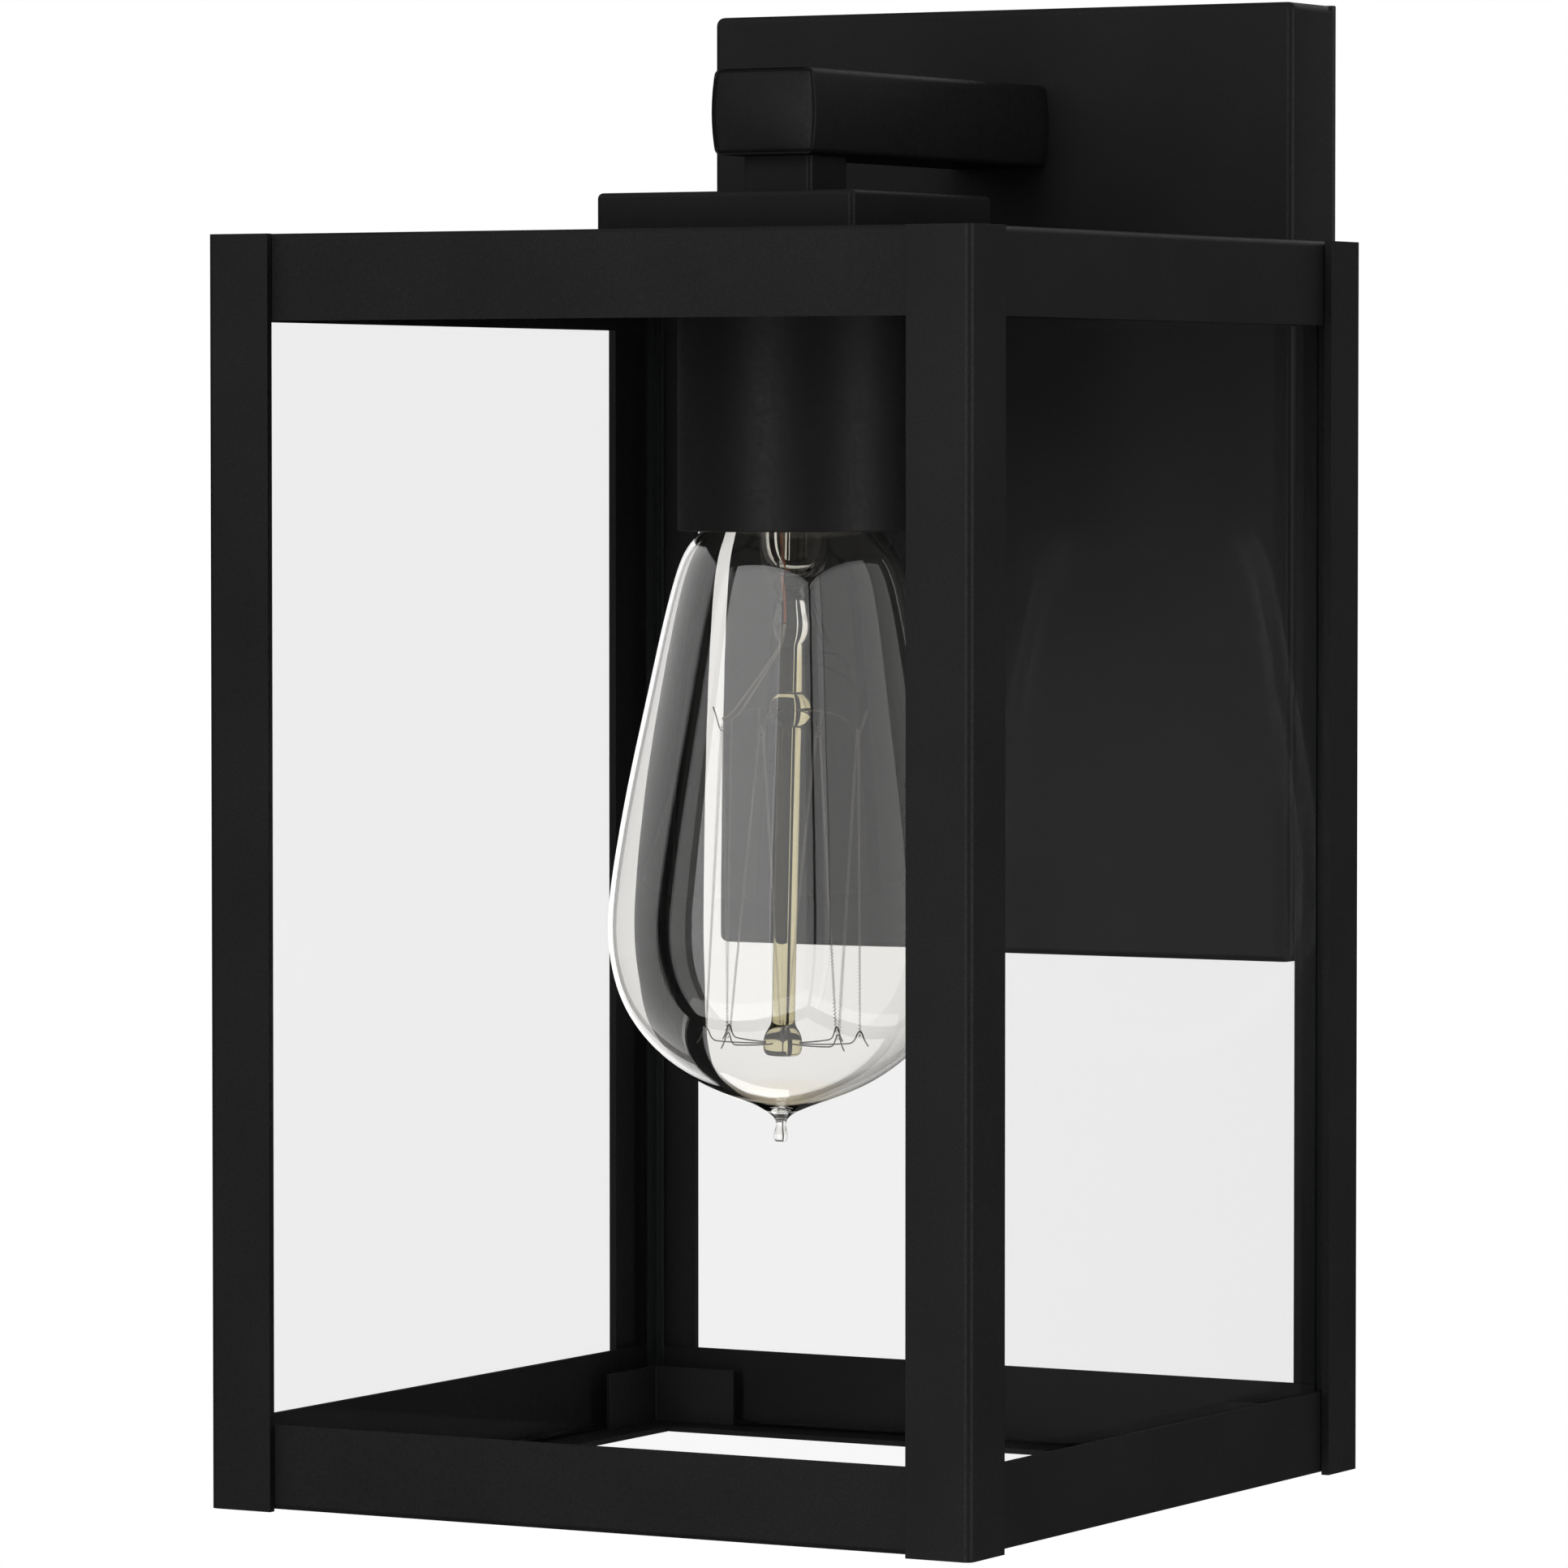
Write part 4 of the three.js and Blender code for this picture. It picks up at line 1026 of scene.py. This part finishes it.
def fused_black_glass():
    """Opaque black glass pressed in hot: jet black and glossy."""
    material, tree = new_material("fused black glass")
    place = add_node(tree, "TexCoord").outputs["Object"]
    flow = add_node(tree, "TexNoise", {"Vector": place, "Scale": 1 / (2 * MM)})
    rough = add_node(tree, "MapRange", {"Value": flow, "To Min": 0.08, "To Max": 0.2})
    shader = add_node(
        tree, "BsdfPrincipled", {"Base Color": linear("#0c0c0d"), "Roughness": rough, "IOR": 1.52}
    )
    add_node(tree, "OutputMaterial", {"Surface": shader})
    return material


cone_low, cone_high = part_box("bulb_insulator")
cone_radius = (cone_high.x - cone_low.x) / 2
insulator = turned(
    [
        (0, cone_low.z),
        (cone_radius, cone_low.z),
        (cone_radius * 0.75, cone_low.z + 1.1 * MM),
        (cone_radius * 0.5, cone_high.z),
        (0, cone_high.z),
    ],
    body_centre,
    48,
)
round_edges(insulator, sharp_edges(insulator, 15), 0.3 * MM, 2)
add_piece(
    "black_glass_insulator",
    insulator,
    fused_black_glass(),
    "black_vitrite",
    ["bulb_insulator"],
    "bulb",
)

tip_low, tip_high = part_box("bulb_tip_contact")
tip_radius = (tip_high.x - tip_low.x) / 2
tip_height = tip_high.z - tip_low.z
tip = turned(
    [
        (0, tip_low.z),
        (tip_radius, tip_low.z),
        (tip_radius * 0.93, tip_low.z + tip_height * 0.5),
        (tip_radius * 0.6, tip_low.z + tip_height * 0.85),
        (tip_radius * 0.25, tip_high.z - 0.02 * MM),
        (0, tip_high.z),
    ],
    body_centre,
    32,
)
add_piece(
    "soldered_tip",
    tip,
    bare_metal("dull tin solder", "#8f9194", "#abadaf", 0.4, 1 * MM),
    "solder",
    ["bulb_tip_contact"],
    "bulb_feed_body",
)


# -------------------- bulb glass
# A pear-shaped envelope of clear soda-lime glass, blown in a mould and tipped off below, where
# the sealed exhaust tube leaves a pip. It leans a little in its base.
BULB_TIP = frame_floor + 62.6 * MM
LEAN_PIVOT = Vector((body_centre.x, body_centre.y, frame_floor + 184 * MM))
LEAN_ANGLE = math.radians(1.25)
LEAN_TURN = math.radians(209.2)
lean_hinge = Vector((math.sin(LEAN_TURN), -math.cos(LEAN_TURN), 0))
LEAN = Matrix.Rotation(LEAN_ANGLE, 3, lean_hinge)
bulb_axis = Vector((body_centre.x, body_centre.y, frame_floor))


def blown_glass(name, tints):
    """Clear blown glass, with its tint at heights from 0 at the tip to 1 at the neck."""
    material, tree = new_material(name)
    place = add_node(tree, "TexCoord").outputs["Object"]
    height = add_node(tree, "SeparateXYZ", {0: place}).outputs["Z"]
    rise = add_node(
        tree, "MapRange", {"Value": height, "From Min": BULB_TIP, "From Max": BULB_TIP + 114 * MM}
    )
    tone = add_node(tree, "ValToRGB", {"Fac": rise})
    tone.color_ramp.elements.remove(tone.color_ramp.elements[1])
    for position, tint in tints:
        tone.color_ramp.elements.new(position).color = linear(tint)
    tone.color_ramp.elements.remove(tone.color_ramp.elements[0])
    # Mould ripple, 9 mm across and only a few microns deep.
    ripple = add_node(tree, "TexNoise", {"Vector": place, "Scale": 1 / (9 * MM), "Detail": 1.0})
    relief = add_node(tree, "Bump", {"Height": ripple, "Strength": 0.1, "Distance": 0.1 * MM})
    shader = add_node(
        tree,
        "BsdfPrincipled",
        {
            "Base Color": tone,
            "Roughness": 0.0,
            "IOR": 1.5,
            "Transmission Weight": 1.0,
            "Normal": relief,
        },
    )
    add_node(tree, "OutputMaterial", {"Surface": shader})
    return material


def blown(name, outline, material, node, steps):
    """A glass piece on the bulb's leaning axis, from (radius, height) pairs in millimetres."""
    shape = turned([(radius * MM, height * MM) for radius, height in outline], bulb_axis, steps)
    bmesh.ops.rotate(shape, verts=shape.verts, cent=LEAN_PIVOT, matrix=LEAN)
    piece = add_piece(name, shape, material, "bulb_glass", [node] if node else [], "bulb")
    smooth = piece.modifiers.new("blown smooth", "SUBSURF")
    smooth.levels = smooth.render_levels = 2
    piece.visible_shadow = False
    return piece


OUTSIDE = [
    (0, 62.6), (1.2, 62.7), (1.35, 64.2), (0.7, 65.6), (1.2, 67.2), (3.2, 68.4), (6.9, 69.9),
    (11.6, 71.6), (16.4, 73.9), (21.2, 77.2), (25.3, 81.2), (28.7, 86), (30.9, 91.5),
    (32.1, 98), (32.1, 105), (31.1, 113.5), (29.4, 124.5), (27.5, 134.5), (25.6, 144),
    (23.6, 154.5), (21.8, 162.5), (20.2, 168), (18.2, 171.3), (14.8, 174.2), (11.4, 176),
    (10.9, 179), (10.9, 190),
]  # fmt: skip
INSIDE = [
    (10.1, 190), (10.1, 179), (10.7, 176.9), (14.2, 173.6), (17.5, 170.6), (19.4, 167.5),
    (21, 162.3), (22.8, 154.3), (24.8, 143.9), (26.7, 134.4), (28.6, 124.4), (30.3, 113.4),
    (31.3, 105), (31.3, 98), (30.1, 92), (28, 86.4), (24.7, 81.7), (20.7, 77.8), (16, 74.6),
    (11.25, 72.35), (6.6, 70.65), (2.9, 69.3), (0, 68.8),
]  # fmt: skip
AMBER = "#faf3e4"  # where the glass was worked hottest, beside the tip and the neck
CLEAR = "#fefdfb"
clear_bulb_glass = blown_glass(
    "blown soda-lime glass",
    [(0.045, CLEAR), (0.055, AMBER), (0.075, AMBER), (0.09, CLEAR), (0.96, CLEAR), (0.98, AMBER)],
)
blown("blown_envelope", OUTSIDE + INSIDE, clear_bulb_glass, "bulb_glass", 40)


# -------------------- stem
# A flared lead-glass tube, pressed flat round the leads, with a glass rod below it. Two beads
# on the rod hold the support wires.
STEM = [
    (0, 165), (3.6, 166), (5.2, 169.5), (5.3, 176), (5.5, 183), (8.6, 189.4), (9.4, 188.8),
    (6.5, 183), (6.3, 176), (6.3, 169.5), (5.6, 165.5), (3.6, 162.3), (2.6, 160.6),
    (2.8, 158.6), (3.5, 156.8), (3.5, 154.6), (2.6, 153), (2.1, 152.4), (2.1, 151),
    (2.1, 144.2), (2.1, 143.4), (2.9, 143.1), (3.75, 141.9), (3.85, 140.6), (3.75, 139.3),
    (2.9, 138.1), (2.1, 137.8), (2.1, 137), (2.1, 86), (2.1, 84.4), (2.5, 83.4),
    (3.3, 82.3), (3.6, 80.6), (3.5, 79), (2.9, 78.3), (2.4, 78.2), (0, 78.2),
]  # fmt: skip
# The yellow tint below the pinch is a painted highlight: it stands in for the yellow light seen
# down the middle of the rod and its beads.
lead_glass = blown_glass("drawn lead glass", [(0.76, "#ddd4ae"), (0.82, "#fdfcf7")])
stem_glass = blown("flared_stem", STEM, lead_glass, "glass_stem", 28)
PINCH_TURN = math.radians(29.2)
PINCH_HEIGHT = 157
PINCH_SPREAD = 4.5
PINCH_DEPTH = 0.4  # share of the thickness that is pressed away
thin = Matrix.Rotation(PINCH_TURN, 3, "Z") @ Vector((0, 1, 0))
for vert in stem_glass.data.vertices:  # the pinch is flat: thin from front to back
    height = (vert.co.z - frame_floor) / MM
    flat = PINCH_DEPTH * math.exp(-(((height - PINCH_HEIGHT) / PINCH_SPREAD) ** 2))
    vert.co -= thin * flat * thin.dot(vert.co - body_centre)
EXHAUST_TUBE = [
    (1.6, 167.4), (2.4, 167.4), (2.4, 168), (2.4, 188), (2.4, 188.8),
    (1.6, 188.8), (1.6, 188), (1.6, 168), (1.6, 167.4),
]  # fmt: skip
blown("exhaust_tube", EXHAUST_TUBE, lead_glass, None, 20)


# -------------------- support wires and leads
# Fine drawn wires are fused into the beads like spokes, and each ends in a bent hook. Two
# nickel leads come out of the pinch and are clamped to the filament's ends.
CAGE_TURN = 29.2
UPPER = [CAGE_TURN + 247.5 + 45 * k for k in range(7)]
LOWER = [CAGE_TURN + 225 + 45 * k for k in range(8)]
LEAD_ENDS = [CAGE_TURN + 213, CAGE_TURN + 196]
HUB_TOP = 140.6
HUB_BOTTOM = 80.5


def on_cage(degrees, radius, height):
    """A point round the bulb's leaning axis, from millimetres."""
    angle = math.radians(degrees)
    spot = Vector((radius * math.cos(angle), radius * math.sin(angle), height)) * MM + bulb_axis
    return LEAN_PIVOT + LEAN @ (spot - LEAN_PIVOT)


def bent_wires(name, routes, radius, material, nodes):
    """Wires of one gauge, each bent along its own route."""
    curve = bpy.data.curves.new(name, "CURVE")
    curve.dimensions = "3D"
    curve.bevel_depth = radius
    curve.bevel_resolution = 2
    curve.resolution_u = 6
    curve.use_fill_caps = True
    for route in routes:
        spline = curve.splines.new("NURBS")
        spline.points.add(len(route) - 1)
        for point, place in zip(spline.points, route):
            point.co = (*place, 1)
        spline.use_endpoint_u = True
        spline.order_u = 3
    curve.materials.append(material)
    piece = bpy.data.objects.new(name, curve)
    scene.collection.objects.link(piece)
    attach(piece, "bulb")
    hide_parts(*nodes)
    bulb_lit.objects.link(piece)


# Each hook is (distance from the axis, rise above its bead), and each lead (distance, height).
UPPER_HOOK = [
    (2.4, 0), (6, 0.1), (9.5, -0.6), (11.6, -1.9),
    (12.9, -4.4), (13.7, -4.0), (14.4, -1.6), (15.1, 0.1),
]  # fmt: skip
LOWER_HOOK = [
    (2.2, 0), (6, -0.1), (11, 0.1), (12.8, 0.3),
    (13.6, 2.6), (14.2, 2.5), (14.8, 0.6), (15.5, -0.3),
]  # fmt: skip
LEAD = [
    (1.3, 156), (1.4, 153.4), (2.6, 151.2), (6.6, 145.6), (10.2, 140.6), (11.5, 139.4),
    (12.6, 138.8),
]  # fmt: skip
SEAL = [(1.3, 156.2), (1.3, 160), (1.6, 166), (2.9, 174), (3, 188)]
HOOK_RADIUS = 0.13 * MM
LEAD_RADIUS = 0.24 * MM
SEAL_RADIUS = 0.12 * MM

hook_wire = bare_metal("drawn molybdenum wire", "#57534e", "#7c7770", 0.35, 2 * MM)
for level, angles, bead, hook in (
    ("upper", UPPER, HUB_TOP, UPPER_HOOK),
    ("lower", LOWER, HUB_BOTTOM, LOWER_HOOK),
):
    routes = [[on_cage(a, out, bead + rise) for out, rise in hook] for a in angles]
    bent_wires(
        level + "_hooks", routes, HOOK_RADIUS, hook_wire, [level + "_supports"]
    )

nickel = bare_metal("drawn nickel wire", "#9c9688", "#beb8aa", 0.25, 2 * MM)
for letter, end in zip("ab", LEAD_ENDS):
    route = [on_cage(end, out, height) for out, height in LEAD]
    node = "bulb_lead_" + letter
    bent_wires("nickel_lead_" + letter, [route], LEAD_RADIUS, nickel, [node])
seals = [[on_cage(end, out, height) for out, height in SEAL] for end in LEAD_ENDS]
bent_wires("copper_seals", seals, SEAL_RADIUS, bright_copper, [])


# -------------------- filament
# Hair-fine tungsten, wound into an open coil and strung up and down between the hooks, one
# strand to each side of a hook.
COIL_RADIUS = 0.19 * MM
COIL_PITCH = 0.62 * MM
COIL_SIDES = 6
THREAD_RADIUS = 0.05 * MM
STRAND_GAP = 1.3  # degrees to each side of a hook
LEAD_CLAMP = (12.4, 138.7)
UPPER_BEND = (13.3, HUB_TOP - 3.4)
LOWER_BEND = (13.9, HUB_BOTTOM + 1.7)
path = [on_cage(LEAD_ENDS[0], *LEAD_CLAMP)]
for k, angle in enumerate(LOWER):
    path += [on_cage(angle + side, *LOWER_BEND) for side in (-STRAND_GAP, STRAND_GAP)]
    if k < len(UPPER):
        path += [on_cage(UPPER[k] + side, *UPPER_BEND) for side in (-STRAND_GAP, STRAND_GAP)]
path.append(on_cage(LEAD_ENDS[1], *LEAD_CLAMP))
coil = bpy.data.curves.new("coiled_filament", "CURVE")
coil.dimensions = "3D"
coil.bevel_depth = THREAD_RADIUS
coil.bevel_resolution = 0
winding = []
phase = 0.0
for start, end in zip(path, path[1:]):
    along = end - start
    across = along.orthogonal().normalized()
    beside = along.normalized().cross(across)
    count = max(2, round(along.length / COIL_PITCH * COIL_SIDES))
    for step in range(count):
        phase += 2 * math.pi / COIL_SIDES
        offset = across * math.cos(phase) + beside * math.sin(phase)
        winding.append(start + along * step / count + offset * COIL_RADIUS)
thread = coil.splines.new("POLY")
thread.points.add(len(winding) - 1)
for point, place in zip(thread.points, winding):
    point.co = (*place, 1)
coil.materials.append(bare_metal("drawn tungsten", "#8a847c", "#ada79f", 0.4, 1 * MM))
filament = bpy.data.objects.new("coiled_filament", coil)
scene.collection.objects.link(filament)
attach(filament, "bulb")
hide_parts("filament")
bulb_lit.objects.link(filament)
